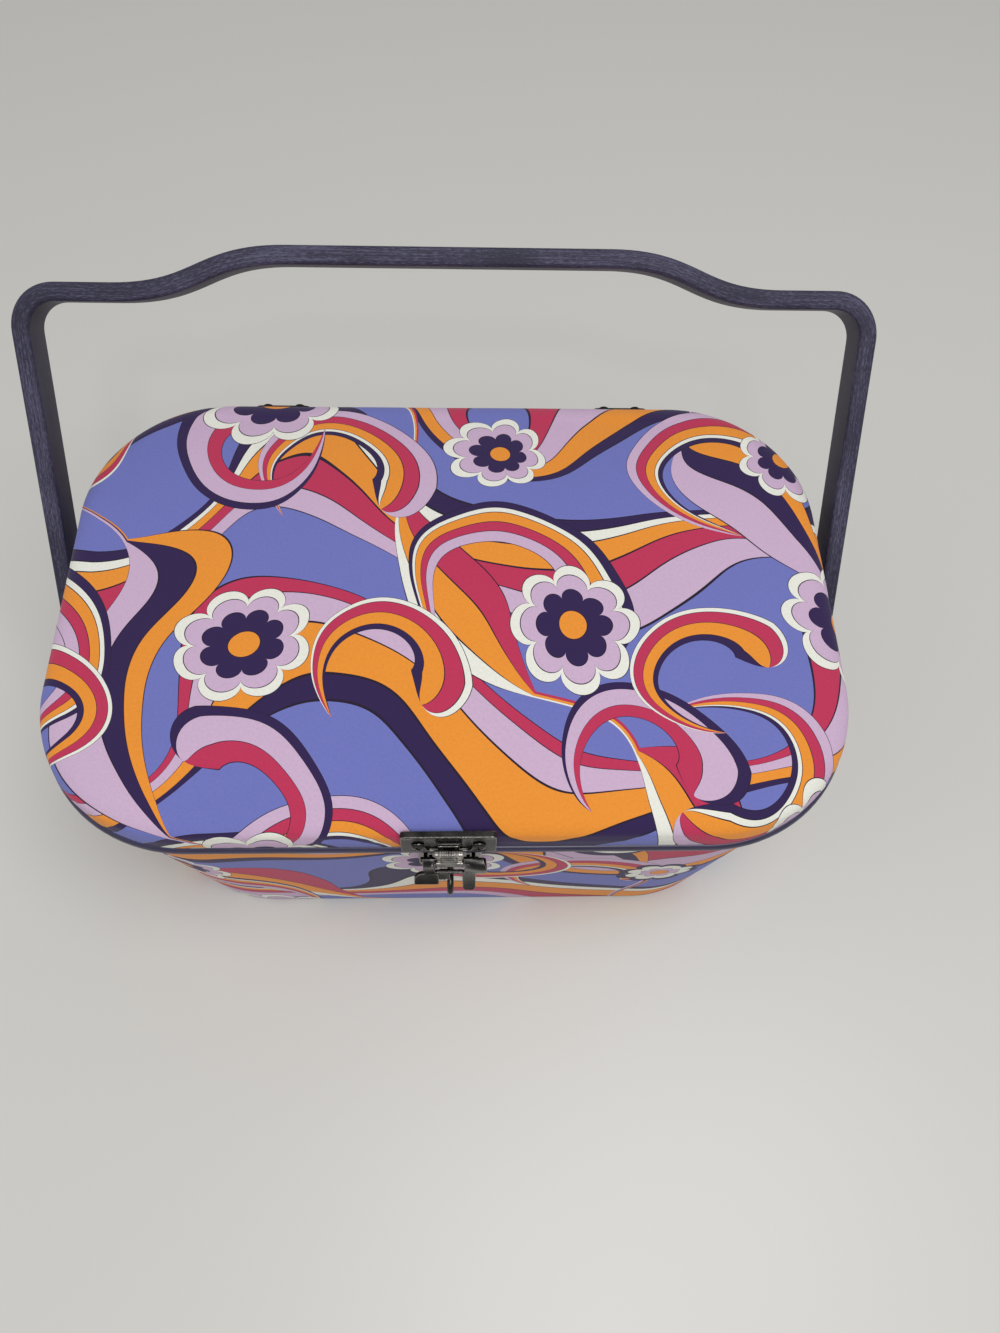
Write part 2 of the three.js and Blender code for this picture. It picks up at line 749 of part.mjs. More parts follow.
function addHinges() {
  const knuckle = hingeLeafWidth / 3 - seatGap;
  const neck = hingeNeckRise;
  const lidLeaf = polygon([
    [hingeLeafFootReach, rimHeight + neck],
    [hingeLeafTopReach, rimHeight + hingeLeafHeight],
    [hingeLeafTopReach + hingeLeafThickness, rimHeight + hingeLeafHeight],
    [hingeLeafFootReach + hingeLeafThickness, rimHeight + neck],
  ]);
  const lidNeck = polygon([
    [hingeLeafFootReach, rimHeight],
    [hingeLeafFootReach, rimHeight + neck],
    [hingeLeafFootReach + hingeLeafThickness, rimHeight + neck],
    [hingeLeafFootReach + hingeLeafThickness, rimHeight],
  ]);
  const trimFoot = rimHeight - trimHeight - hingeLeafThickness;
  const leafFoot = hingeBaseScrewHeight - screwHeadRadius - screwHeadHeight;
  const flatTop = hingeBaseScrewHeight + screwHeadRadius;
  const baseLeaf = polygon([
    [hingeLeafFootReach, rimHeight - neck],
    [baseReach(trimFoot) + trimProud + seatGap, trimFoot],
    [baseReach(flatTop) + seatGap, flatTop],
    [baseReach(leafFoot) + seatGap, leafFoot],
    [baseReach(leafFoot) + seatGap + hingeLeafThickness, leafFoot],
    [baseReach(flatTop) + seatGap + hingeLeafThickness, flatTop],
    [baseReach(trimFoot) + trimProud + seatGap + hingeLeafThickness, trimFoot],
    [hingeLeafFootReach + hingeLeafThickness, rimHeight - neck],
  ]);
  const baseNeck = polygon([
    [hingeLeafFootReach, rimHeight],
    [hingeLeafFootReach + hingeLeafThickness, rimHeight],
    [hingeLeafFootReach + hingeLeafThickness, rimHeight - neck],
    [hingeLeafFootReach, rimHeight - neck],
  ]);

  [['left', hingeMiddles[0]], ['right', hingeMiddles[1]]].forEach(([name, middle]) => {
    const at = (x) => new THREE.Vector3(x, 0, 0);
    const barrelAt = (x) => backPoint(x, hingeReach, rimHeight);
    const bore = rod(hingePinRadius + seatGap, 2 * hingeLeafWidth, barrelAt(middle), axisX, smallSides);
    const lidParts = [
      prism(lidLeaf, hingeLeafWidth, axisY, axisZ, at(middle)),
      prism(lidNeck, knuckle, axisY, axisZ, at(middle)),
      rod(hingeBarrelRadius, knuckle, barrelAt(middle), axisX),
    ];
    addPiece(`hinge_lid_leaf_${name}`, cut(join(lidParts), [bore, ...hingeLidScrews.map(screwHole)]), 'gunmetal');

    const baseParts = [prism(baseLeaf, hingeLeafWidth, axisY, axisZ, at(middle))];
    for (const side of [-1, 1]) {
      const knuckleMiddle = middle + side * (hingeLeafWidth - knuckle) / 2;
      baseParts.push(prism(baseNeck, knuckle, axisY, axisZ, at(knuckleMiddle)));
      baseParts.push(rod(hingeBarrelRadius, knuckle, barrelAt(knuckleMiddle), axisX));
    }
    addPiece(`hinge_base_leaf_${name}`, cut(join(baseParts), [bore, ...hingeBaseScrews.map(screwHole)]), 'gunmetal');

    const pinLength = hingeLeafWidth + 2 * seatGap;
    const heads = [-1, 1].map((side) => rod(
      hingeBarrelRadius,
      hingePinHead,
      barrelAt(middle + side * (pinLength + hingePinHead) / 2),
      axisX,
      smallSides,
    ));
    const pin = rod(hingePinRadius, pinLength + hingePinHead, barrelAt(middle), axisX, smallSides);
    addPiece(`hinge_pin_${name}`, join([pin, ...heads]), 'gunmetal');
  });
  addScrews('hinge_lid_screw', hingeLidScrews);
  addScrews('hinge_base_screw', hingeBaseScrews);
}

// Draw latch: hook plate on the lid; base plate with ears, staple, lever and bail on the box

const latchFace = rimPlan.width / 2;
const leverPivot = { reach: latchFace + leverPivotStandOff, height: rimHeight - leverPivotDrop };
const bailPivot = { reach: latchFace + bailStandOff, height: rimHeight - bailPivotDrop };
const tongueFoot = hookPlateFoot + tongueRise;
const tongueTop = tongueFoot + tongueThickness;
const bailBarFoot = tongueTop + bailLift;

function addHookPlate() {
  const top = hookPlateFoot + hookPlateHeight;
  const topReach = hookPlateReach(hookPlateHeight);
  const plate = prism(polygon([
    [hookPlateFootReach, hookPlateFoot],
    [topReach, top],
    [topReach + latchPlateThickness, top],
    [hookPlateFootReach + latchPlateThickness, hookPlateFoot],
  ]), hookPlateWidth, front, axisZ);
  const tongue = prism(polygon([
    [hookPlateFootReach, tongueFoot],
    [hookPlateFootReach, tongueTop],
    [hookPlateFootReach + tongueLength, tongueTop],
    [hookPlateFootReach + tongueLength, tongueFoot],
  ]), tongueWidth, front, axisZ);
  addPiece('latch_hook_plate', cut(join([plate, tongue]), hookScrews.map(screwHole)), 'gunmetal');
  addScrews('latch_hook_screw', hookScrews);
}

function addLatchBase() {
  const top = rimHeight - latchBaseTop;
  const foot = rimHeight - latchBaseFoot;
  const plate = prism(polygon([
    [baseReach(foot) + seatGap, foot],
    [baseReach(top) + seatGap, top],
    [baseReach(top) + seatGap + latchPlateThickness, top],
    [baseReach(foot) + seatGap + latchPlateThickness, foot],
  ]), latchBaseWidth, front, axisZ);
  const earTop = leverPivot.height + leverPinRadius + earThickness;
  const earFoot = leverPivot.height - leverPinRadius - earThickness;
  const earRoot = latchFace + trimProud + 2 * seatGap;
  const ear = polygon([
    [baseReach(top) + seatGap, earFoot - bailPivotDrop / 2],
    [baseReach(top) + seatGap, top],
    [earRoot, top],
    [earRoot, earTop],
    [leverPivot.reach + leverPinRadius + earThickness, earTop],
    [leverPivot.reach + leverPinRadius + earThickness, earFoot],
  ]);
  const ears = [-1, 1].map((side) => prism(
    ear, earThickness, front, axisZ, new THREE.Vector3(side * earSpacing / 2, 0, 0)));
  const pivotAt = frontPoint(0, leverPivot.reach, leverPivot.height);
  const pinHole = rod(leverPinRadius + seatGap, 2 * earSpacing, pivotAt, axisX, smallSides);
  const stapleGap = new THREE.BoxGeometry(
    stapleThickness + 2 * seatGap, 2 * stapleReach, stapleHeight + 2 * seatGap);
  stapleGap.translate(0, -latchFace, rimHeight - stapleDrop);
  const base = cut(join([plate, ...ears]), [pinHole, stapleGap, ...latchBaseScrews.map(screwHole)]);
  addPiece('latch_base_plate', base, 'gunmetal');
  addScrews('latch_base_screw', latchBaseScrews);

  for (const [name, side] of [['left', -1], ['right', 1]]) {
    const length = leverCheekThickness + 3 * earThickness;
    const middle = frontPoint(side * (leverCheekSpacing + earSpacing) / 4, leverPivot.reach, leverPivot.height);
    addPiece(`latch_lever_pin_${name}`, rod(leverPinRadius, length, middle, axisX, smallSides), 'gunmetal');
  }
}

// The staple is a round-nosed flat loop that stands out of the base plate, with its shank behind the nose
function addStaple() {
  const middle = rimHeight - stapleDrop;
  const root = baseReach(middle + stapleHeight / 2) + seatGap;
  const nose = root + stapleReach - stapleHeight / 2;
  const outline = new THREE.Shape();
  outline.moveTo(root, middle + stapleHeight / 2);
  outline.lineTo(root, middle - stapleHeight / 2);
  outline.absarc(nose, middle, stapleHeight / 2, -Math.PI / 2, Math.PI / 2, false);
  outline.closePath();
  const eye = new THREE.Path();
  eye.absarc(nose, middle, stapleHeight / 2 - stapleWire, 0, 2 * Math.PI, true);
  outline.holes.push(eye);
  addPiece('latch_staple', prism(outline, stapleThickness, front, axisZ), 'gunmetal');
}

function addBail() {
  const top = bailBarFoot + bailBarHeight;
  const back = bailPivot.reach - bailThickness / 2;
  const frame = prism(polygon([
    [back, bailPivot.height],
    [back + bailLean, top],
    [back + bailLean + bailThickness, top],
    [back + bailThickness, bailPivot.height],
  ]), bailWidth, front, axisZ);
  const windowFoot = bailPivot.height + bailEyeRadius + bailSide;
  const opening = prism(polygon([
    [back - cutOverrun, windowFoot],
    [back - cutOverrun, bailBarFoot],
    [back + cutOverrun, bailBarFoot],
    [back + cutOverrun, windowFoot],
  ]), bailWidth - 2 * bailSide, front, axisZ);
  const pivotAt = frontPoint(0, bailPivot.reach, bailPivot.height);
  const eye = rod(bailEyeRadius, bailWidth, pivotAt, axisX);
  const bore = rod(bailPinRadius + seatGap, 2 * bailWidth, pivotAt, axisX, smallSides);
  addPiece('latch_bail', cut(join([frame, eye]), [opening, bore]), 'gunmetal');
  const pinLength = leverCheekSpacing + leverCheekThickness;
  addPiece('bail_pin', rod(bailPinRadius, pinLength, pivotAt, axisX, smallSides), 'gunmetal');
}

// The lever's face is a shallow arc seen from the side, and its fingers carry the arc on downwards
function arcBand(top, foot, reach, cup, thickness) {
  const band = new THREE.Shape();
  band.moveTo(reach, top);
  band.quadraticCurveTo(reach + 2 * cup, (top + foot) / 2, reach, foot);
  band.lineTo(reach - thickness, foot);
  band.quadraticCurveTo(reach - thickness + 2 * cup, (top + foot) / 2, reach - thickness, top);
  band.closePath();
  return band;
}

function fingerTip(width, offset, drop) {
  const foot = rimHeight - drop;
  const tip = new THREE.Shape();
  tip.moveTo(offset - width / 2, rimHeight - leverTopDrop);
  tip.lineTo(offset - width / 2, foot + width / 2);
  tip.absarc(offset, foot + width / 2, width / 2, Math.PI, 2 * Math.PI, false);
  tip.lineTo(offset + width / 2, rimHeight - leverTopDrop);
  tip.closePath();
  return prism(tip, 2 * lidWidth, axisX, axisZ);
}

function addLever() {
  const reach = latchFace + leverStandOff;
  const top = rimHeight - leverTopDrop;
  const foot = rimHeight - leverFootDrop;
  const face = prism(arcBand(top, foot, reach, leverCup, leverThickness), leverWidth, front, axisZ);
  const fingerBand = (drop, flare) => prism(polygon([
    [reach, foot + leverThickness],
    [reach + flare, rimHeight - drop],
    [reach + flare - leverThickness, rimHeight - drop],
    [reach - leverThickness, foot + leverThickness],
  ]), 2 * leverWidth, front, axisZ);
  const frontHalf = new THREE.BoxGeometry(2 * leverWidth, 2 * leverWidth, 2 * rimHeight);
  frontHalf.translate(0, -reach, rimHeight);
  const fingers = [
    [broadFingerWidth, broadFingerOffset, broadFingerDrop, broadFingerFlare],
    [narrowFingerWidth, narrowFingerOffset, narrowFingerDrop, narrowFingerFlare],
  ].map(([width, offset, drop, flare]) => (
    overlapOf(fingerBand(drop, flare), overlapOf(fingerTip(width, offset, drop), frontHalf))));

  const margin = leverPinRadius + leverCheekRim;
  const cheek = polygon([
    [leverPivot.reach - margin, leverPivot.height + margin],
    [leverPivot.reach + margin, leverPivot.height + margin],
    [reach - leverThickness / 2, top],
    [reach - leverThickness / 2 + leverCup / 2, (top + foot) / 2],
    [bailPivot.reach - margin, bailPivot.height - margin],
    [bailPivot.reach - margin, bailPivot.height + margin],
  ]);
  const cheeks = [-1, 1].map((side) => prism(
    cheek, leverCheekThickness, front, axisZ, new THREE.Vector3(side * leverCheekSpacing / 2, 0, 0)));
  const pinHole = rod(leverPinRadius + seatGap, 2 * leverWidth,
    frontPoint(0, leverPivot.reach, leverPivot.height), axisX, smallSides);
  const bailHole = rod(bailPinRadius + seatGap, 2 * leverWidth,
    frontPoint(0, bailPivot.reach, bailPivot.height), axisX, smallSides);
  const notchFoot = bailPivot.height - bailEyeRadius - bailSide;
  const notch = new THREE.BoxGeometry(bailWidth + 2 * seatGap + bailLift, 2 * leverCup + 2 * leverThickness, 2 * (top - notchFoot));
  notch.translate(0, -reach, top);
  addPiece('latch_lever', cut(join([face, ...fingers, ...cheeks]), [pinHole, bailHole, notch]), 'gunmetal');
}

addBox();
addTrims();
addLid();
addTray();
addHandle();
addHinges();
addHookPlate();
addLatchBase();
addStaple();
addBail();
addLever();

export default basket;
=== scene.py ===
import json
import math

import bmesh
import bpy
from mathutils import Matrix, Vector, noise


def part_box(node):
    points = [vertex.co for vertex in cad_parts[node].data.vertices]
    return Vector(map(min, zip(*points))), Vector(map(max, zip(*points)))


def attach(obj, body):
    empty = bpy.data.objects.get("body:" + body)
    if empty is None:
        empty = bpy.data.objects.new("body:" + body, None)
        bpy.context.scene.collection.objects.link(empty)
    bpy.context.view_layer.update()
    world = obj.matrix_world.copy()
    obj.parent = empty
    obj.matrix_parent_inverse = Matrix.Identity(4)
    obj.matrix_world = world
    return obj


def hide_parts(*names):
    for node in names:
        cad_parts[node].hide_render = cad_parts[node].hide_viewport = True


# Looks of the sewing basket, in metres, +Z up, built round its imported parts
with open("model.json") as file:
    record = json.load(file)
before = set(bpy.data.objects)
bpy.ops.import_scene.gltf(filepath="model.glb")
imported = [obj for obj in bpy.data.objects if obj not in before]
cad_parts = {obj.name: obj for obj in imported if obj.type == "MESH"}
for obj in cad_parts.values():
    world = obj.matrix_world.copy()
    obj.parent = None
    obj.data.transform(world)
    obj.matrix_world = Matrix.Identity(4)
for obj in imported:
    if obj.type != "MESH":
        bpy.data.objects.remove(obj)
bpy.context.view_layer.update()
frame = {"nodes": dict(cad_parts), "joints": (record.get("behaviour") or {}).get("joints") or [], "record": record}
print("stage: frame loaded")


# Sizes that several pieces share. What the frame can tell is read from it.
basket = {
    "trimProud": 0.0015,
    "rimOverhang": 0.002,
    "lidCornerRadius": 0.060,
    "footCornerRadius": 0.057,
    "undersideInset": 0.004,
    "seatGap": 0.0003,
    "clothThickness": 0.0008,
    "cardThickness": 0.0025,
    "handleLean": 45,
}


def sizeOf(node):
    low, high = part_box(node)
    return high - low


def middleOf(node):
    low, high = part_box(node)
    return (low + high) / 2


def insetPlan(plan, by):
    length, width, radius = plan
    return length - 2 * by, width - 2 * by, radius - by


def blendPlans(first, second, share):
    return tuple(a + (b - a) * share for a, b in zip(first, second))
def clamp(value, low=0.0, high=1.0):
    return min(max(value, low), high)


def quarterTurn(steps, first=0):
    # the angles from nought to a right angle, in even steps
    return [math.pi / 2 * i / steps for i in range(first, steps + 1)]


rimHeight = middleOf("hinge_pin_left").z
lidTrimPlan = (sizeOf("lid_trim").x, sizeOf("lid_trim").y, basket["lidCornerRadius"])
lidPlan = insetPlan(lidTrimPlan, basket["trimProud"])
rimPlan = insetPlan(lidPlan, basket["rimOverhang"])
footPlan = (
    sizeOf("underside_panel").x + 2 * basket["undersideInset"],
    sizeOf("underside_panel").y + 2 * basket["undersideInset"],
    basket["footCornerRadius"],
)
wallInset = basket["clothThickness"] + basket["seatGap"]
liningInset = wallInset + basket["cardThickness"] + basket["seatGap"]
roomInset = liningInset + basket["clothThickness"]


def boxPlan(height, by=0.0):
    return insetPlan(blendPlans(footPlan, rimPlan, height / rimHeight), by)


def boxReach(height):
    return boxPlan(height)[1] / 2


# Shader and modifier trees

class Signal:
    # a number in a shader tree; Python's operators on it add Math nodes
    def __init__(self, graph, socket):
        self.graph = graph
        self.socket = socket

    def maths(self, operation, *others):
        return self.graph.maths(operation, self, *others)

    def __add__(self, other):
        return self.graph.maths("ADD", self, other)

    def __radd__(self, other):
        return self.graph.maths("ADD", other, self)

    def __sub__(self, other):
        return self.graph.maths("SUBTRACT", self, other)

    def __rsub__(self, other):
        return self.graph.maths("SUBTRACT", other, self)

    def __mul__(self, other):
        return self.graph.maths("MULTIPLY", self, other)

    def __rmul__(self, other):
        return self.graph.maths("MULTIPLY", other, self)

    def __truediv__(self, other):
        return self.graph.maths("DIVIDE", self, other)

    def __rtruediv__(self, other):
        return self.graph.maths("DIVIDE", other, self)

    def __pow__(self, other):
        return self.graph.maths("POWER", self, other)

    def __gt__(self, other):
        return self.graph.maths("GREATER_THAN", self, other)

    def __lt__(self, other):
        return self.graph.maths("LESS_THAN", self, other)

    def __neg__(self):
        return self.graph.maths("MULTIPLY", self, -1.0)

    def __abs__(self):
        return self.graph.maths("ABSOLUTE", self)


class Graph:
    # adds nodes to the tree of a material or a modifier
    def __init__(self, tree):
        self.tree = tree
        tree.nodes.clear()

    def node(self, kind, settings=None, values=None):
        made = self.tree.nodes.new(kind)
        for name, setting in (settings or {}).items():
            if name == "stops":
                fillRamp(made.color_ramp, setting)
            else:
                setattr(made, name, setting)
        for name, value in (values or {}).items():
            self.feed(value, made.inputs[name])
        return made

    def feed(self, value, socket):
        if isinstance(value, Signal):
            value = value.socket
        if isinstance(value, bpy.types.NodeSocket):
            self.tree.links.new(value, socket)
        else:
            socket.default_value = value

    def maths(self, operation, *values):
        made = self.node("ShaderNodeMath", {"operation": operation}, dict(enumerate(values)))
        return Signal(self, made.outputs[0])

    def mix(self, share, first, second, mode="MIX"):
        made = self.node("ShaderNodeMix", {"data_type": "RGBA", "blend_type": mode},
                         {0: share, 6: first, 7: second})
        return made.outputs[2]

    def vector(self, x, y, z=0.0):
        return self.node("ShaderNodeCombineXYZ", values={0: x, 1: y, 2: z}).outputs[0]

    def parts(self, vector):
        made = self.node("ShaderNodeSeparateXYZ", values={0: vector})
        return [Signal(self, made.outputs[i]) for i in range(3)]

    def uv(self, name="cloth"):
        return self.node("ShaderNodeUVMap", {"uv_map": name}).outputs[0]

    def place(self):
        return self.node("ShaderNodeTexCoord").outputs["Object"]

    def stretched(self, vector, scale):
        return self.node("ShaderNodeMapping", values={"Vector": vector, "Scale": scale}).outputs[0]

    def noise(self, vector, size, detail=3.0, roughness=0.5):
        made = self.node("ShaderNodeTexNoise", {"noise_dimensions": "3D"}, {
            "Vector": vector, "Scale": 1 / size, "Detail": detail, "Roughness": roughness})
        return Signal(self, made.outputs["Fac"])

    def cells(self, u, v, size, randomness):
        # the middles of loosely placed cells, and three random numbers of each
        made = self.node("ShaderNodeTexVoronoi", {"voronoi_dimensions": "2D", "feature": "F1"}, {
            "Vector": self.vector(u, v), "Scale": 1 / size, "Randomness": randomness})
        return self.parts(made.outputs["Position"])[:2], self.parts(made.outputs["Color"])

    def ramp(self, value, stops, interpolation="LINEAR"):
        settings = {"stops": (interpolation, stops)}
        return self.node("ShaderNodeValToRGB", settings, {0: value}).outputs[0]

    def attribute(self, name):
        made = self.node("ShaderNodeAttribute", {"attribute_name": name})
        return Signal(self, made.outputs["Fac"])

    def bump(self, height, depth, strength):
        values = {"Height": height, "Distance": depth, "Strength": strength}
        return self.node("ShaderNodeBump", values=values).outputs[0]


def fillRamp(ramp, setting):
    interpolation, stops = setting
    ramp.interpolation = interpolation
    while len(ramp.elements) < len(stops):
        ramp.elements.new(0.5)
    for element, (place, colour) in zip(ramp.elements, stops):
        element.position = place
        element.color = colour


def paint(red, green, blue):
    # a colour as it is read off a screen, turned into the linear values that nodes take
    def linear(value):
        value /= 255
        return value / 12.92 if value <= 0.04045 else ((value + 0.055) / 1.055) ** 2.4
    return linear(red), linear(green), linear(blue), 1.0


def grey(value):
    return value, value, value, 1.0


class Finish(Graph):
    # a material with one Principled shader
    def __init__(self, name, **constants):
        self.material = bpy.data.materials.new(name)
        self.material.use_nodes = True
        super().__init__(self.material.node_tree)
        named = {key.replace("_", " "): value for key, value in constants.items()}
        self.shader = self.node("ShaderNodeBsdfPrincipled", values=named)
        self.node("ShaderNodeOutputMaterial", values={"Surface": self.shader.outputs[0]})

    def set(self, name, value):
        self.feed(value, self.shader.inputs[name])


# Printed cotton: a made-up pattern of swaying ribbons, curved horns and daisies

printLook = {
    "periwinkle": paint(112, 118, 190),
    "lavender": paint(206, 177, 206),
    "cream": paint(236, 236, 226),
    "orange": paint(238, 148, 50),
    "crimson": paint(192, 50, 88),
    "plum": paint(46, 28, 78),
    "ink": paint(34, 22, 44),
    "inkLine": 0.014,      # these three are shares of a ribbon's width
    "stripesEnd": 0.96,
    "ribbonEnd": 0.974,
    "driftSize": 13.0,
    "drift": 0.016,
    "mottleSize": 0.0011,
    "fadeSize": 0.035,
    "dye": (0.83, 0.3, 0.05),
    "threadPitch": 0.00042,
    "threadDepth": 0.00009,
}


def ribbonStops(colours, widths, ground):
    # stripes across a ribbon, with a thin ink line at each edge
    look = printLook
    stops = [(0.0, look["ink"])]
    total = sum(widths)
    at = 0.0
    for colour, width in zip(colours, widths):
        stops.append((at + look["inkLine"], look[colour]))
        at += width / total * look["stripesEnd"]
        stops.append((at, look["ink"]))
    stops.append((at + look["inkLine"], ground))
    return stops


# lengths of the waves in metres, their heights as shares of the sway
ribbonLook = {
    "cross": (0.6, 0.19),
    "short": (0.4, 0.9),
    "swellStep": 2.1,
    "leastWidth": 0.02,
    "narrowShift": 0.03,
    "narrowTurn": (0.5, 0.866),
    "wide": {
        "spacing": 0.084, "sway": (0.026, 0.227, 0.149), "swell": (0.23, 0.18), "width": (0.5, 0.3),
        "stripes": ((["lavender", "crimson", "orange", "cream", "plum"], [5, 4, 3.4, 2, 2.4]),
                    (["plum", "orange", "lavender", "crimson"], [2.2, 4.4, 4, 2.6])),
    },
    "narrow": {
        "spacing": 0.131, "sway": (0.022, 0.19, 0.15), "swell": (0.15, 0.26), "width": (0.12, 0.2),
        "stripes": ((["cream", "orange", "crimson"], [2, 3, 3]),
                    (["lavender", "plum", "orange"], [4, 2, 2])),
    },
}


def phase(place, length):
    return place * (math.tau / length)


def ribbons(graph, u, v, family):
    # swaying ribbons side by side, their widths swelling; odd and even ones have their own stripes
    look = ribbonLook
    sway, long, short = family["sway"]
    cross, crossLength = look["cross"]
    waved = v + sway * (phase(u, long) + cross * phase(v, crossLength).maths("SINE")).maths("SINE")
    height, shift = look["short"]
    course = (waved + sway * height * (phase(u, short) + shift).maths("SINE")) / family["spacing"]
    across = course.maths("FRACT")
    number = course.maths("FLOOR")
    swell = phase(u, family["swell"][0]) + phase(v, family["swell"][1]) + number * look["swellStep"]
    width = family["width"][0] + family["width"][1] * swell.maths("SINE")
    share = across / width.maths("MAXIMUM", look["leastWidth"])
    even, odd = (graph.ramp(share, ribbonStops(*stripes, printLook["periwinkle"]), "CONSTANT")
                 for stripes in family["stripes"])
    isOdd = (number * 0.5).maths("FRACT") > 0.25
    return graph.mix(isOdd, even, odd), share < printLook["ribbonEnd"]


hornLook = {
    "randomness": 0.34,
    "turn": 0.74,
    "flatness": 0.78,
    "middle": (0.42, 0.46),
    "bluntness": 5.5,
    "half": 0.38,
    "taper": 0.75,
    # cell size, shift, stripes, their widths, share of cells left empty
    "layers": (
        (0.176, (0.021, 0.047), ["lavender", "crimson", "orange", "cream", "plum"],
         [5, 4, 4, 2, 2.6], 0.16),
        (0.152, (0.083, -0.019), ["plum", "cream", "orange", "crimson", "lavender"],
         [2, 1.6, 4, 4, 4], 0.22),
        (0.134, (-0.036, 0.102), ["crimson", "lavender", "plum"], [4, 5, 2], 0.3),
        (0.118, (0.054, 0.066), ["plum", "orange", "crimson", "cream"], [2.2, 4.5, 4, 1.6], 0.34),
    ),
}


def horns(graph, u, v, under, cellSize, shift, colours, widths, least):
    # curved horns with stripes along them: blunt at one end, drawn out to a point at the other
    look = hornLook
    reach = cellSize * (1 - look["randomness"]) / 2
    u = u + shift[0]
    v = v + shift[1]
    (middleU, middleV), (choice, wanted, other) = graph.cells(u, v, cellSize, look["randomness"])
    du = u - middleU
    dv = v - middleV
    cosine = (choice * math.tau).maths("COSINE")
    sine = (choice * math.tau).maths("SINE")
    hand = (other > 0.5) * 2 - 1
    long = (du * cosine + dv * sine) / reach
    wide = (dv * cosine - du * sine) * hand / (reach * look["flatness"])
    radius = (long * long + wide * wide).maths("SQRT")
    turn = (wide.maths("ARCTAN2", long) / math.tau).maths("FRACT") / look["turn"]
    middle = look["middle"][0] + look["middle"][1] * turn
    blunt = (turn * look["bluntness"]).maths("MINIMUM", 1.0).maths("SQRT")
    half = look["half"] * blunt * (1 - turn).maths("MAXIMUM", 0.0001) ** look["taper"]
    share = (radius - middle) / (half * 2) + 0.5
    inside = (share > 0.0) * (share < printLook["ribbonEnd"]) * (turn < 1.0) * (wanted > least)
    stripes = graph.ramp(share, ribbonStops(colours, widths, printLook["ink"]), "CONSTANT")
    return graph.mix(inside, under, stripes)


daisyLook = {
    "cell": 0.104,
    "randomness": 0.4,
    "shift": (0.012, 0.044),
    "radius": 0.0255,
    "sizes": (0.78, 0.4),
    "petals": (0.72, 0.28, 0.55),
    "leastChoice": 0.12,
    "deepFrom": 0.45,
    "pale": ((0.0, "lavender"), (0.45, "ink"), (0.47, "cream"), (0.78, "ink"), (0.795, "plum"),
             (1.0, "periwinkle")),
    "deep": ((0.0, "plum"), (0.56, "ink"), (0.575, "lavender"), (0.82, "ink"), (0.835, "cream"),
             (0.985, "ink"), (1.0, "periwinkle")),
    "heart": ((0.0, "orange"), (0.2, "ink"), (0.215, "plum")),
}


def daisies(graph, u, v, under):
    # eight-petalled daisies, their petals ringed twice
    look = daisyLook

    def rings(place, stops):
        return graph.ramp(place, [(stop, printLook[colour]) for stop, colour in look[stops]], "CONSTANT")
    u = u - look["shift"][0]
    v = v + look["shift"][1]
    (middleU, middleV), (choice, wanted, other) = graph.cells(u, v, look["cell"], look["randomness"])
    du = u - middleU
    dv = v - middleV
    angle = dv.maths("ARCTAN2", du)
    radius = (du * du + dv * dv).maths("SQRT")
    inner, outer, blunt = look["petals"]
    petal = abs((angle * 4 + choice * math.pi).maths("COSINE")) ** blunt
    size = look["radius"] * (look["sizes"][0] + look["sizes"][1] * wanted)
    share = radius / (size * (inner + outer * petal))
    heart = radius / size
    flower = graph.mix(other > look["deepFrom"], rings(share, "pale"), rings(share, "deep"))
    flower = graph.mix(heart < look["heart"][-1][0], flower, rings(heart, "heart"))
    inside = (share < 1.0) * (choice > look["leastChoice"])
    return graph.mix(inside, under, flower)


def printedCotton():
    look = printLook
    cloth = Finish("printed cotton", Roughness=0.82, Sheen_Weight=0.12, Sheen_Roughness=0.5,
                   Specular_IOR_Level=0.3)
    uv = cloth.uv()
    drift = cloth.node("ShaderNodeTexNoise", {"noise_dimensions": "2D"}, {
        "Vector": uv, "Scale": look["driftSize"], "Detail": 1.0})
    driftU, driftV, _ = cloth.parts(drift.outputs["Color"])
    plainU, plainV, _ = cloth.parts(uv)
    u = plainU + (driftU - 0.5) * look["drift"]
    v = plainV + (driftV - 0.5) * look["drift"]
    colour, _ = ribbons(cloth, u, v, ribbonLook["wide"])
    cosine, sine = ribbonLook["narrowTurn"]
    turnedU = u * cosine - v * sine
    turnedV = u * sine + v * cosine
    over, inside = ribbons(cloth, turnedU + ribbonLook["narrowShift"], turnedV, ribbonLook["narrow"])
    colour = cloth.mix(inside, colour, over)
    for layer in hornLook["layers"]:
        colour = horns(cloth, u, v, colour, *layer)
    colour = daisies(cloth, u, v, colour)
    # threads: a fine mottle in the dye and the weave's own relief
    mottle = cloth.noise(uv, look["mottleSize"], 3.0, 0.75)
    fade = cloth.noise(uv, look["fadeSize"], 3.0)
    shade = look["dye"][0] + mottle * look["dye"][1] + fade * look["dye"][2]
    cloth.set("Base Color", cloth.mix(1.0, colour, cloth.vector(shade, shade, shade), "MULTIPLY"))
    warp = phase(plainU, look["threadPitch"]).maths("SINE")
    weft = phase(plainV, look["threadPitch"]).maths("SINE")
    cloth.set("Normal", cloth.bump(warp * weft * 0.5 + mottle, look["threadDepth"], 0.6))
    return cloth.material


# Plain finishes

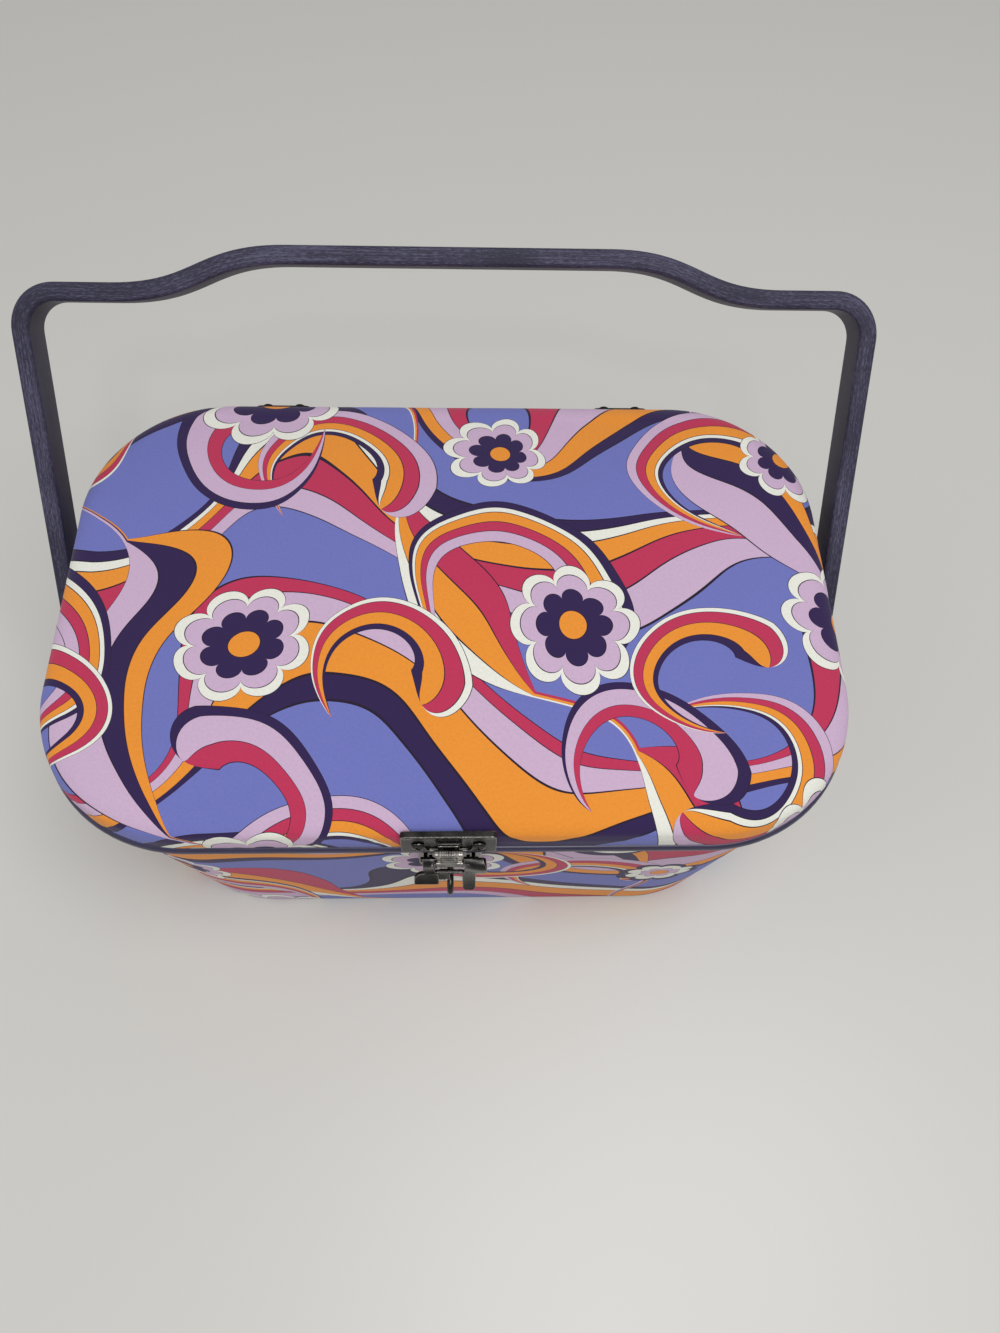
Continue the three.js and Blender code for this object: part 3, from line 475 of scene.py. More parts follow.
def plainFinish(name, dark, light, noises, tone=(1,), rough=None, relief=(0, 0.0001, 0.3),
                stops=(0.3, 0.7), **fixed):
    # two colours blended by noise; each noise is (stretch, size, detail, roughness)
    # tone and rough weigh the noises in the colour and in the roughness
    finish = Finish(name, **fixed)
    place = finish.place()
    made = [finish.noise(finish.stretched(place, stretch) if stretch else place, *settings)
            for stretch, *settings in noises]
    weighed = [noise if weight == 1 else noise * weight for noise, weight in zip(made, tone) if weight]
    shade = sum(weighed[1:], weighed[0])
    finish.set("Base Color", finish.ramp(shade, [(stops[0], paint(*dark)), (stops[1], paint(*light))]))
    if rough:
        which, least, more = rough
        finish.set("Roughness", least + made[which] * more)
    which, depth, strength = relief
    finish.set("Normal", finish.bump(made[which], depth, strength))
    return finish.material


def paintedWood():
    # brushed navy paint: grain runs along the strip, and the front edge is rubbed lighter
    wood = Finish("painted bentwood")
    uv = wood.uv("grain")
    long = wood.stretched(uv, (42.0, 1500.0, 1.0))
    grain = wood.noise(long, 1.0, 5.0, 0.65)
    speck = wood.noise(wood.stretched(uv, (420.0, 2900.0, 1.0)), 1.0, 3.0, 0.7)
    blotch = wood.noise(wood.stretched(uv, (22.0, 60.0, 1.0)), 1.0, 3.0)
    rubbed = wood.attribute("rubbed")
    edge = wood.attribute("edge")
    paintShade = wood.ramp(blotch, [(0.3, paint(31, 28, 50)), (0.7, paint(42, 38, 64))])
    scuff = (speck * 1.3 + grain * 0.9 + blotch * 0.5 - 1.3) * 2.2 * (0.1 + rubbed * 0.3 + edge * 0.6)
    scuff = scuff.maths("MAXIMUM", 0.0).maths("MINIMUM", 0.8)
    colour = wood.mix(scuff, paintShade, paint(104, 102, 128))
    wood.set("Base Color", colour)
    wood.set("Roughness", 0.42 + rubbed * 0.2 + grain * 0.12)
    wood.set("Normal", wood.bump(grain + speck * 0.5, 0.0002, 0.55))
    return wood.material


def gunmetal(name="gunmetal", light=1.0):
    # black nickel plating, thinner and brighter on the edges that are touched; the pale edge colour also stands in
    # for a painted highlight
    metal = Finish(name, Metallic=1.0)
    place = metal.place()
    cloud = metal.noise(place, 0.004, 4.0)
    fine = metal.noise(place, 0.0006, 3.0)
    edge = metal.attribute("edge")
    # light above one lightens the plating colours themselves: a painted highlight
    plate = metal.ramp(cloud, [(0.3, paint(50 * light, 49 * light, 49 * light)),
                               (0.7, paint(72 * light, 70 * light, 68 * light))])
    # pale convex edges: worn plating, and in part a painted highlight
    bright = (edge * (0.5 + fine * 0.8)).maths("MINIMUM", 1.0)
    metal.set("Base Color", metal.mix(bright, plate, paint(186, 180, 170)))
    metal.set("Roughness", 0.15 + cloud * 0.18 + fine * 0.06)
    metal.set("Normal", metal.bump(fine, 0.00008, 0.3))
    return metal.material


finishes = {
    "printed_cotton": printedCotton(),
    "trim_cord": plainFinish(
        "navy trim", (38, 32, 62), (52, 46, 80), [(None, 0.012, 4.0), (None, 0.004, 2.0)],
        rough=(0, 0.3, 0.2), relief=(1, 0.0001, 0.35), stops=(0.3, 0.75),
        Coat_Weight=0.25, Coat_Roughness=0.2),
    "card_board": plainFinish(
        "pressed card", (158, 132, 100), (190, 166, 132),
        [((1, 1, 3), 0.0016, 5.0, 0.7), (None, 0.02, 3.0)],
        tone=(0.6, 0.4), relief=(0, 0.0003, 0.5), Roughness=0.9),
    "padding_foam": plainFinish(
        "wadding", (214, 208, 192), (238, 234, 222), [(None, 0.0014, 4.0, 0.75)],
        relief=(0, 0.0008, 0.7), Roughness=0.97, Sheen_Weight=0.4),
    "lining_satin": plainFinish(
        "lavender satin", (184, 158, 196), (210, 188, 218),
        [((1, 1, 6), 0.0008, 3.0, 0.7), (None, 0.03, 2.0)],
        tone=(0.5, 0.5), rough=(0, 0.36, 0.16), relief=(0, 0.0001, 0.4),
        Sheen_Weight=0.35, Sheen_Roughness=0.3, Anisotropic=0.35),
    "underside_cloth": plainFinish(
        "dark felt paper", (34, 30, 42), (56, 51, 68), [(None, 0.0011, 5.0, 0.8)],
        relief=(0, 0.0004, 0.6), stops=(0.35, 0.7), Roughness=0.95, Sheen_Weight=0.2),
    "tray_plastic": plainFinish(
        "milky plastic", (222, 216, 226), (236, 232, 240),
        [((1, 3, 1), 0.05, 3.0), (None, 0.003, 4.0, 0.7)],
        rough=(1, 0.28, 0.2), relief=(1, 0.0001, 0.2), Subsurface_Weight=0.15, Subsurface_Scale=0.004),
    "painted_wood": paintedWood(),
    "bush_plastic": plainFinish(
        "dark bush plastic", (36, 32, 54), (50, 46, 70), [(None, 0.002, 4.0, 0.7)], rough=(0, 0.4, 0.25)),
    "gunmetal": gunmetal(),
}
pinVelvet = plainFinish(
    "crimson velvet", (128, 26, 56), (168, 42, 76), [(None, 0.0007, 4.0, 0.7), (None, 0.012, 3.0)],
    tone=(0.4, 0.6), relief=(0, 0.0004, 0.6),
    Roughness=0.85, Sheen_Weight=0.8, Sheen_Roughness=0.35, Sheen_Tint=paint(240, 150, 170))
# a lighter copy of the gunmetal for the bail's ribbed bar: a painted highlight
paintedHighlightMetal = gunmetal("gunmetal with painted highlight", 2.3)
print("stage: materials made")


# Mesh helpers

def newObject(name, mesh):
    piece = bpy.data.objects.new(name, mesh)
    bpy.context.scene.collection.objects.link(piece)
    return piece


def meshFrom(name, points, faces):
    mesh = bpy.data.meshes.new(name)
    mesh.from_pydata([tuple(point) for point in points], [], faces)
    mesh.update()
    return mesh


def faceOutwards(mesh):
    # a closed body whose volume comes out negative has its faces the wrong way round
    shape = bmesh.new()
    shape.from_mesh(mesh)
    if shape.calc_volume(signed=True) < 0:
        bmesh.ops.reverse_faces(shape, faces=shape.faces)
    shape.to_mesh(mesh)
    shape.free()


def smoothShade(mesh, sharpDegrees=38):
    mesh.shade_smooth()
    mesh.set_sharp_from_angle(angle=math.radians(sharpDegrees))


def applyModifiers(piece):
    graph = bpy.context.evaluated_depsgraph_get()
    plain = bpy.data.meshes.new_from_object(
        piece.evaluated_get(graph), preserve_all_data_layers=True, depsgraph=graph)
    plain.name = piece.name
    piece.modifiers.clear()
    piece.data = plain
    return piece


def place(piece, finish, body, slot=None, stands=()):
    # gives a finished piece its material and its body, and hides the CAD nodes that it stands for
    piece.data.materials.clear()
    piece.data.materials.append(finishes[finish] if isinstance(finish, str) else finish)
    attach(piece, body)
    slot or finish
    if stands:
        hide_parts(*stands)
    return piece


def loft(name, rings, caps=(), looped=False, cloth=None, wrap=0.0, clothName="cloth"):
    # rings of points, each joined to the next; caps holds "first" or "last" where an end is closed
    count = len(rings[0])
    points = [point for ring in rings for point in ring]
    faces = []
    corners = []
    bands = len(rings) if looped else len(rings) - 1
    for band in range(bands):
        low = band * count
        high = (band + 1) % len(rings) * count
        for i in range(count):
            j = (i + 1) % count
            faces.append((low + i, low + j, high + j, high + i))
            corners.append(((low + i, 0), (low + j, j == 0), (high + j, j == 0), (high + i, 0)))
    for cap in caps:
        start = 0 if cap == "first" else (len(rings) - 1) * count
        ring = rings[0] if cap == "first" else rings[-1]
        pole = len(points)
        points.append(sum(ring, Vector((0, 0, 0))) / count)
        if cloth:
            marks = cloth[0] if cap == "first" else cloth[-1]
            cloth.append([sum((Vector(mark) for mark in marks), Vector((0, 0))) / count])
        for i in range(count):
            j = (i + 1) % count
            tip = (start + i, start + j, pole)
            faces.append(tip[::-1] if cap == "first" else tip)
            flags = ((start + i, 0), (start + j, j == 0), (pole, 0))
            corners.append(flags[::-1] if cap == "first" else flags)
    mesh = meshFrom(name, points, faces)
    if cloth:
        marks = [mark for ring in cloth for mark in ring]
        layer = mesh.uv_layers.new(name=clothName)
        spots = [spot for face in corners for spot in face]
        for loop, (index, wrapped) in zip(layer.data, spots):
            loop.uv = (marks[index][0] + (wrap if wrapped else 0.0), marks[index][1])
    faceOutwards(mesh)
    smoothShade(mesh)
    return newObject(name, mesh)


def spin(profile, at, direction, sides):
    # rings of a profile of (radius, distance along the axis)
    turn = Vector((0, 0, 1)).rotation_difference(Vector(direction))
    angles = [math.tau * i / sides for i in range(sides)]
    return [[at + turn @ Vector((radius * math.cos(angle), radius * math.sin(angle), along))
             for angle in angles] for radius, along in profile]


def lathe(name, profile, at, direction, sides=48):
    # a turned piece, closed on the axis at both ends
    return loft(name, spin(profile, at, direction, sides), caps=("first", "last"))


def sweepX(outlines, spots):
    # closed outlines of (y, z), each at its own place along X
    count = len(outlines[0])
    points = [(x, y, z) for outline, x in zip(outlines, spots) for y, z in outline]
    last = len(points) - count
    faces = [tuple(range(count)), tuple(range(last + count - 1, last - 1, -1))]
    for start in range(0, last, count):
        for i in range(count):
            j = (i + 1) % count
            faces.append((start + i, start + count + i, start + count + j, start + j))
    mesh = meshFrom("part", points, faces)
    faceOutwards(mesh)
    return newObject("part", mesh)


def extrudeX(outline, low, high):
    # a closed outline of (y, z), run along X
    return sweepX([outline, outline], (low, high))


def extrudeY(outline, low, high):
    # a closed outline of (x, z), run along Y
    part = extrudeX(outline, low, high)
    part.data.transform(Matrix(((0, 1, 0, 0), (1, 0, 0, 0), (0, 0, 1, 0), (0, 0, 0, 1))))
    faceOutwards(part.data)
    return part


def rodX(radius, low, high, y, z, sides=32):
    outline = [(y + radius * math.cos(math.tau * i / sides), z + radius * math.sin(math.tau * i / sides))
               for i in range(sides)]
    return extrudeX(outline, low, high)


def roundedOutline(low, high, radii, steps=8):
    # corners of a rectangle in turn from its lowest left, each with its own radius
    corners = ((low[0], low[1], 180), (high[0], low[1], 270), (high[0], high[1], 0), (low[0], high[1], 90))
    outline = []
    for (x, z, start), radius in zip(corners, radii):
        middleX = x + radius * (1 if x == low[0] else -1)
        middleZ = z + radius * (1 if z == low[1] else -1)
        for i in range(steps + 1):
            angle = math.radians(start + 90 * i / steps)
            outline.append((middleX + radius * math.cos(angle), middleZ + radius * math.sin(angle)))
    return outline


def combine(operation, first, second):
    cutter = first.modifiers.new("combine", "BOOLEAN")
    cutter.operation = operation
    cutter.solver = "EXACT"
    cutter.object = second
    applyModifiers(first)
    bpy.data.objects.remove(second)
    return first


def gather(name, parts):
    # several closed bodies in one mesh
    shape = bmesh.new()
    for part in parts:
        shape.from_mesh(part.data)
        bpy.data.objects.remove(part)
    mesh = bpy.data.meshes.new(name)
    shape.to_mesh(mesh)
    shape.free()
    return newObject(name, mesh)


wearAndHighlightLook = {"flat": 0.12, "growth": 1.6, "castReach": 0.0006}


def markEdges(mesh, reach=0.0003):
    # writes how convex each point is, so that a finish can show wear and a painted highlight there
    shape = bmesh.new()
    shape.from_mesh(mesh)
    shape.normal_update()
    values = []
    for vertex in shape.verts:
        bend = 0.0
        for edge in vertex.link_edges:
            other = edge.other_vert(vertex)
            step = other.co - vertex.co
            bend -= step.dot(vertex.normal) / max(step.length, 1e-7) ** 2
        values.append(bend / max(len(vertex.link_edges), 1) * reach)
    shape.free()
    layer = mesh.attributes.new("edge", "FLOAT", "POINT")
    for item, value in zip(layer.data, values):
        item.value = clamp((value - wearAndHighlightLook["flat"]) * wearAndHighlightLook["growth"])


def rectangle(low, high):
    return [(low[0], low[1]), (high[0], low[1]), (high[0], high[1]), (low[0], high[1])]


def cast(name, parts, voxel=0.00024, softness=5, keep=0.45):
    # fuses overlapping parts and rounds every edge a little, as a casting's are
    piece = gather(name, parts)
    fuse = piece.modifiers.new("fuse", "REMESH")
    fuse.mode = "VOXEL"
    fuse.voxel_size = voxel
    soften = piece.modifiers.new("soften", "SMOOTH")
    soften.factor = 0.5
    soften.iterations = softness
    thin = piece.modifiers.new("thin", "DECIMATE")
    thin.ratio = keep
    applyModifiers(piece)
    markEdges(piece.data, wearAndHighlightLook["castReach"])
    smoothShade(piece.data, 60)
    return piece


# Rounded rectangles, walked from the middle of the back, anticlockwise seen from above

walk = {"halfLong": 30, "corner": 30, "short": 26}


def planRing(plan, finer=1.0):
    length, width, radius = plan
    straightX = length / 2 - radius
    straightY = width / 2 - radius
    ring = []

    def side(start, end, outward, steps):
        for i in range(steps):
            ring.append((Vector(start).lerp(Vector(end), i / steps), Vector(outward)))

    def bend(x, y, start, steps):
        for i in range(steps):
            angle = math.radians(start + 90 * i / steps)
            outward = Vector((math.cos(angle), math.sin(angle)))
            ring.append((Vector((x, y)) + radius * outward, outward))

    half, corner, short = (max(2, round(walk[key] * finer)) for key in ("halfLong", "corner", "short"))
    side((0, width / 2), (-straightX, width / 2), (0, 1), half)
    bend(-straightX, straightY, 90, corner)
    side((-length / 2, straightY), (-length / 2, -straightY), (-1, 0), short)
    bend(-straightX, -straightY, 180, corner)
    side((-straightX, -width / 2), (straightX, -width / 2), (0, -1), 2 * half)
    bend(straightX, -straightY, 270, corner)
    side((length / 2, -straightY), (length / 2, straightY), (1, 0), short)
    bend(straightX, straightY, 0, corner)
    side((straightX, width / 2), (0, width / 2), (0, 1), half)
    return ring


def alongRing(ring):
    total = 0.0
    marks = [0.0]
    for (point, _), (following, _) in zip(ring, ring[1:] + ring[:1]):
        total += (following - point).length
        marks.append(total)
    return marks[:-1], total


def liftRing(ring, height, outwards=0.0):
    return [Vector((*(point + outward * outwards), height)) for point, outward in ring]


def ripple(point, size, seed=0.0):
    return noise.noise(Vector((point[0] / size + seed, point[1] / size, point[2] / size + seed * 0.37)))


# Lid cover: cotton over wadding, with a soft edge and a low crown

lidLook = {
    "sideHeight": 0.0124,
    "sideLean": 0.0006,
    "softRound": 0.011,
    "softRise": 0.0061,
    "crown": 0.009,
    "crownPower": 2.0,
    "rippleSize": 0.045,
    "ripple": 0.0005,
    "puckerSize": 0.007,
    "puckerHeight": 0.02,
    "puckerTurn": 0.12,
    "pucker": 0.00028,
    "cornerFrom": (0.085, 0.035),
    "cornerFade": 0.03,
    "footFade": 0.004,
    "sideBlend": 0.002,
    "roundSteps": 14,
    "sideSteps": 7,
    "crownSteps": 30,
}
lidSideTop = rimHeight + lidLook["sideHeight"]
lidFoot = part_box("lid_cover")[0].z


def lidProfile(depth):
    # (inset, height, share of the flat top) from the foot of the side up to the middle of the crown
    look = lidLook
    profile = [(depth, lidFoot + (lidSideTop - lidFoot) * i / look["sideSteps"], 1.0)
               for i in range(look["sideSteps"])]
    for angle in quarterTurn(look["roundSteps"]):
        inset = look["sideLean"] + look["softRound"] * (1 - math.cos(angle)) + depth * math.cos(angle)
        profile.append((inset, lidSideTop + (look["softRise"] - depth) * math.sin(angle), 1.0))
    top = lidSideTop + look["softRise"] - depth
    for i in range(1, look["crownSteps"] + 1):
        share = 1 - i / (look["crownSteps"] + 0.6)
        rise = look["crown"] * (1 - share ** look["crownPower"])
        profile.append((look["sideLean"] + look["softRound"], top + rise, share))
    return profile


def lidRings(depth, finer=1.0):
    rings = []
    for inset, height, share in lidProfile(depth):
        ring = planRing(insetPlan(lidPlan, inset), finer)
        rings.append([Vector((point.x * share, point.y * share, height)) for point, _ in ring])
    return rings


def lidCloth():
    # the print lies flat on the top and runs on down the sides
    profile = lidProfile(0.0)
    edge = lidLook["sideSteps"] + lidLook["roundSteps"]
    marks = [None] * len(profile)
    rim = planRing(insetPlan(lidPlan, profile[edge][0]))
    run = 0.0
    for i in range(edge, -1, -1):
        if i < edge:
            run += math.hypot(profile[i][0] - profile[i + 1][0], profile[i][1] - profile[i + 1][1])
        marks[i] = [tuple(point + outward * run) for point, outward in rim]
    for i in range(edge + 1, len(profile)):
        marks[i] = [tuple(point * profile[i][2]) for point, _ in rim]
    return marks


def shapeLidRings(rings, amount):
    # slow waves in the padding, and small gathers where the cloth turns the round corners
    look = lidLook
    top = lidSideTop + look["softRise"] + look["crown"]
    fromX, fromY = look["cornerFrom"]
    for ring in rings:
        for point in ring:
            high = clamp((point.z - lidFoot) / (top - lidFoot))
            slow = ripple(point, look["rippleSize"]) * look["ripple"] * high
            cornerX = clamp((abs(point.x) - fromX) / look["cornerFade"])
            cornerY = clamp((abs(point.y) - fromY) / look["cornerFade"])
            corner = cornerX * cornerY
            side = 1 - clamp((point.z - lidSideTop + look["sideBlend"]) / look["softRise"])
            turn = math.atan2(point.y, point.x) * look["puckerTurn"]
            fold = noise.noise(Vector((turn / look["puckerSize"], point.z / look["puckerHeight"], 3.1)))
            foot = clamp((point.z - lidFoot) / look["footFade"])
            out = Vector((point.x, point.y, 0)).normalized()
            point += out * fold * look["pucker"] * corner * side * foot * amount
            point.z += slow * amount
    return rings


def makeLidCover():
    outer = shapeLidRings(lidRings(0.0), 1.0)
    inner = shapeLidRings(lidRings(basket["clothThickness"]), 1.0)
    cloth = lidCloth()
    cover = loft("lidCover", outer[::-1] + inner, caps=("first", "last"), cloth=cloth[::-1] + cloth)
    place(cover, "printed_cotton", "lid", stands=["lid_cover"])


def makeLidPadding():
    depth = basket["clothThickness"] + basket["seatGap"]
    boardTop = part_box("lid_board")[1].z + basket["seatGap"]
    rings = [ring for ring in shapeLidRings(lidRings(depth, 0.5), 0.6) if ring[0].z > boardTop]
    start = [Vector((point.x, point.y, boardTop)) for point in rings[0]]
    padding = loft("lidPadding", [start] + rings, caps=("first", "last"))
    place(padding, "padding_foam", "lid", stands=["lid_padding"])


makeLidCover()
makeLidPadding()
print("stage: lid cover made")


# Box cover: printed cotton glued round the card, turned in over the rim and closed at the back

coverLook = {
    "foot": 0.0008,
    "footRound": 0.0012,
    "edge": 0.0004,
    "slack": 0.0002,
    "rows": 26,
    "innerRows": 7,
    "innerFoot": 0.002,
    "wave": 0.00018,
    "waveSize": 0.03,
    "seamWidth": 0.007,
    "seamRise": 0.00045,
    "seamSoft": 0.0006,
    "seamLap": 0.006,
    "printShift": 0.213,
}


def makeBoxCover():
    look = coverLook
    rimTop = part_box("base_rim_trim")[1].z
    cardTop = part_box("base_wall")[1].z
    thick = basket["clothThickness"]
    turnIn = liningInset - basket["seatGap"]
    edge = look["edge"]
    foot = look["foot"]
    sideFoot = foot + look["footRound"]
    profile = [(thick + edge, foot + look["slack"]), (edge, foot)]
    profile += [(0.0, sideFoot + (cardTop - foot - look["footRound"]) * i / look["rows"])
                for i in range(look["rows"] + 1)]
    profile += [(look["slack"], rimTop - edge), (edge * 1.5, rimTop), (turnIn, rimTop),
                (turnIn, cardTop + look["slack"]), (thick, cardTop + look["slack"])]
    for i in range(look["innerRows"] - 1, -1, -1):
        rise = (cardTop - look["innerFoot"] - foot) * i / look["innerRows"]
        profile.append((thick, foot + look["innerFoot"] + rise))
    rings = []
    cloth = []
    run = 0.0
    widest, total = alongRing(planRing(rimPlan))

    def seamHeight(mark):
        # the cloth's end lies over its start at the back
        lap = 0 if mark < total / 2 else look["seamLap"]
        beyond = min(mark, total - mark) - look["seamWidth"] / 2 + lap
        return look["seamRise"] * clamp(0.5 - beyond / look["seamSoft"])
    for i, (inset, height) in enumerate(profile):
        ring = planRing(boxPlan(min(height, rimHeight), inset))
        points = []
        for (point, outward), mark in zip(ring, widest):
            out = 0.0
            if 2 <= i <= look["rows"] + 2:
                out = look["wave"] * ripple((*point, height), look["waveSize"], 5.0) + seamHeight(mark)
            points.append(Vector((*(point + outward * out), height)))
        rings.append(points)
        if i:
            run += math.dist(profile[i], profile[i - 1])
        cloth.append([(mark + look["printShift"], run) for mark in widest])
    cover = loft("boxCover", rings, looped=True, cloth=cloth, wrap=total)
    place(cover, "printed_cotton", "base", stands=["base_cover"])
    rimRound = alongRing(planRing(rimPlan))[1]
    footRound = alongRing(planRing(footPlan))[1]
    slant = math.hypot(rimHeight - look["foot"], (rimPlan[0] - footPlan[0]) / 2)
    (rimRound + footRound) / 2 * slant + rimRound * turnIn


makeBoxCover()
print("stage: box cover made")


# Trim beads, swept along their plans by Geometry Nodes

trimLook = {"roundSteps": 24, "profileSteps": 16}


def newTree(name, inputs):
    # a modifier tree with named inputs and one mesh output
    tree = bpy.data.node_groups.new(name, "GeometryNodeTree")
    graph = Graph(tree)
    tree.interface.new_socket("Geometry", in_out="INPUT", socket_type="NodeSocketGeometry")
    for label, value in inputs.items():
        socket = tree.interface.new_socket(label, in_out="INPUT", socket_type="NodeSocketFloat")
        socket.default_value = value
    tree.interface.new_socket("Geometry", in_out="OUTPUT", socket_type="NodeSocketGeometry")
    given = graph.node("NodeGroupInput").outputs
    return tree, graph, {label: Signal(graph, given[label]) for label in ["Geometry", *inputs]}


def endTree(graph, geometry, material):
    real = graph.node("GeometryNodeRealizeInstances", values={"Geometry": geometry})
    coloured = graph.node("GeometryNodeSetMaterial", values={
        "Geometry": real.outputs[0], "Material": material})
    graph.node("NodeGroupOutput", values={0: coloured.outputs[0]})


def grow(name, tree, values, start=None):
    # runs a modifier tree on an object and keeps the plain mesh
    piece = newObject(name, start or bpy.data.meshes.new(name))
    modifier = piece.modifiers.new("grow", "NODES")
    modifier.node_group = tree
    for item in tree.interface.items_tree:
        if item.in_out == "INPUT" and item.name in values:
            modifier[item.identifier] = values[item.name]
    applyModifiers(piece)
    return piece


def beadTree():
    tree, graph, given = newTree("trim bead", {
        "Length": 0.3, "Width": 0.2, "Corner radius": 0.06, "Height": 0.0045, "Proud": 0.0015,
        "Middle": 0.12})
    plan = graph.node("GeometryNodeCurvePrimitiveQuadrilateral", values={
        "Width": given["Length"], "Height": given["Width"]})
    rounded = graph.node("GeometryNodeFilletCurve", {"mode": "POLY"}, {
        "Curve": plan.outputs[0], "Count": trimLook["roundSteps"], "Radius": given["Corner radius"],
        "Limit Radius": True})
    raised = graph.node("GeometryNodeTransform", values={
        "Geometry": rounded.outputs[0], "Translation": graph.vector(0.0, 0.0, given["Middle"])})
    circle = graph.node("GeometryNodeCurvePrimitiveCircle", {"mode": "RADIUS"}, {
        "Resolution": trimLook["profileSteps"], "Radius": 1.0})
    flat = graph.node("GeometryNodeTransform", values={
        "Geometry": circle.outputs["Curve"],
        "Scale": graph.vector(given["Proud"], given["Height"] * 0.5, 1.0)})
    bead = graph.node("GeometryNodeCurveToMesh", values={
        "Curve": raised.outputs[0], "Profile Curve": flat.outputs[0], "Fill Caps": False})
    endTree(graph, bead.outputs[0], finishes["trim_cord"])
    return tree


def makeTrims():
    tree = beadTree()
    for name, node, body, plan in (
        ("lidTrim", "lid_trim", "lid", lidPlan),
        ("boxTrim", "base_rim_trim", "base", boxPlan(middleOf("base_rim_trim").z)),
    ):
        values = {"Length": plan[0], "Width": plan[1], "Corner radius": plan[2], "Height": sizeOf(node).z,
                  "Proud": basket["trimProud"], "Middle": middleOf(node).z}
        trim = grow(name, tree, values)
        faceOutwards(trim.data)
        smoothShade(trim.data, 60)
        place(trim, "trim_cord", body, stands=[node])


makeTrims()
print("stage: trims made")


# Handle: one bentwood strip in a plane that leans back about its two bolts

handleLook = {
    "thickness": 0.007,
    "width": 0.016,
    "reach": 0.151,
    "rise": 0.014,
    "topHalf": 0.163,
    "raisedHalf": 0.062,
    "shoulderHalf": 0.130,
    "cornerRun": 0.0150,
    "edgeRound": 0.0016,
    "rubFrom": 0.8,
    "rubFade": 0.2,
    "leastWidth": 0.06,
    "footSteps": 10,
    "armSteps": 46,
    "bendSteps": 14,
    "flatSteps": 8,
    "swaySteps": 26,
    "raisedSteps": 24,
}
handlePivot = Vector(next(j for j in frame["joints"] if j["name"] == "handle_swing")["pos_m"])


def handlePath():
    # (x, distance up the handle) of the strip's middle line, for its right half, from foot to top
    look = handleLook
    half = look["thickness"] / 2
    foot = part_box("handle_bush_right")[1].x + basket["seatGap"] + half
    top = look["topHalf"] + half
    low = look["reach"] - half
    run = look["cornerRun"]
    slope = (top - foot) / (look["reach"] + look["width"] / 2)

    def arm(rise):
        return foot + slope * (rise + look["width"] / 2)
    below = [-look["width"] / 2 * math.cos(angle) for angle in quarterTurn(look["footSteps"])]
    straight = low - run
    path = [(arm(rise), rise)
            for rise in below + [straight * i / look["armSteps"] for i in range(1, look["armSteps"])]]
    # the bend leaves the arm at the arm's own slope
    for angle in quarterTurn(look["bendSteps"]):
        out = arm(straight) - run + run * math.cos(angle) + slope * run * math.sin(angle)
        path.append((out, straight + run * math.sin(angle)))
    corner = path[-1][0]
    shoulder = look["shoulderHalf"]
    for i in range(1, look["flatSteps"]):
        path.append((corner + (shoulder - corner) * i / look["flatSteps"], low))
    for i in range(look["swaySteps"] + 1):
        t = i / look["swaySteps"]
        middle = (look["raisedHalf"] + shoulder) / 2
        x = (1 - t) ** 3 * shoulder + 3 * t * (1 - t) * middle + t ** 3 * look["raisedHalf"]
        path.append((x, low + look["rise"] * (3 * t * t - 2 * t ** 3)))
    for i in range(1, look["raisedSteps"] + 1):
        path.append((look["raisedHalf"] * (1 - i / look["raisedSteps"]), low + look["rise"]))
    return path


def makeHandle():
    look = handleLook
    lean = math.radians(basket["handleLean"])
    up = Vector((0, math.sin(lean), math.cos(lean)))
    frontwards = Vector((0, -math.cos(lean), math.sin(lean)))
    half = handlePath()
    path = half + [(-x, rise) for x, rise in half[-2::-1]]
    section = roundedOutline((-look["thickness"] / 2, -look["width"] / 2),
                             (look["thickness"] / 2, look["width"] / 2), [look["edgeRound"]] * 4, 5)
    turns = [math.dist(a, b) for a, b in zip(section, section[1:] + section[:1])]
    around = [sum(turns[:i]) for i in range(len(section))]
    rings = []
    marks = []
    rubbed = []
    run = 0.0
    for i, (x, rise) in enumerate(path):
        before = path[max(i - 1, 0)]
        after = path[min(i + 1, len(path) - 1)]
        ahead = Vector((after[0] - before[0], 0, after[1] - before[1])).normalized()
        side = Vector((ahead.z, 0, -ahead.x))
        if i:
            run += math.dist(path[i], path[i - 1])
        narrow = 1.0
        if rise < 0:
            narrow = max(math.sqrt(max(1 - (rise / (look["width"] / 2)) ** 2, 0.0)), look["leastWidth"])
        ring = []
        for across, deep in section:
            flat = Vector((x, 0, rise)) + side * across
            ring.append(handlePivot + Vector((flat.x, 0, 0)) + up * flat.z - frontwards * deep * narrow)
            rubbed.append(clamp((-deep / (look["width"] / 2) - look["rubFrom"]) / look["rubFade"]))
        rings.append(ring)
        marks.append([(run, mark) for mark in around])
    handle = loft("handleBow", rings, caps=("first", "last"), cloth=marks, clothName="grain")
    mesh = handle.data
    layer = mesh.attributes.new("rubbed", "FLOAT", "POINT")
    for item, value in zip(layer.data, rubbed + [0.0, 0.0]):
        item.value = value
    edges = mesh.attributes.new("edge", "FLOAT", "POINT")
    for i, item in enumerate(edges.data):
        item.value = 1.0 if i < len(rubbed) and 0 < rubbed[i] < 1 else 0.0
    place(handle, "painted_wood", "handle", stands=["handle_bow"])


makeHandle()
print("stage: handle made")


# Bolts, bushes, washers and cap nuts

boltLook = {
    "headRadius": 0.0065,
    "headHeight": 0.0026,
    "shankRadius": 0.0029,
    "slotWidth": 0.0012,
    "slotDepth": 0.0012,
    "bushRadius": 0.0085,
    "bushRound": 0.0009,
    "washerRadius": 0.007,
    "nutRadius": 0.005,
    "nutDome": 0.0028,
    "nutWall": 0.0015,
    "soft": 0.0003,
}
onAxis = 0.0001  # a turned piece's profile starts this close to its axis


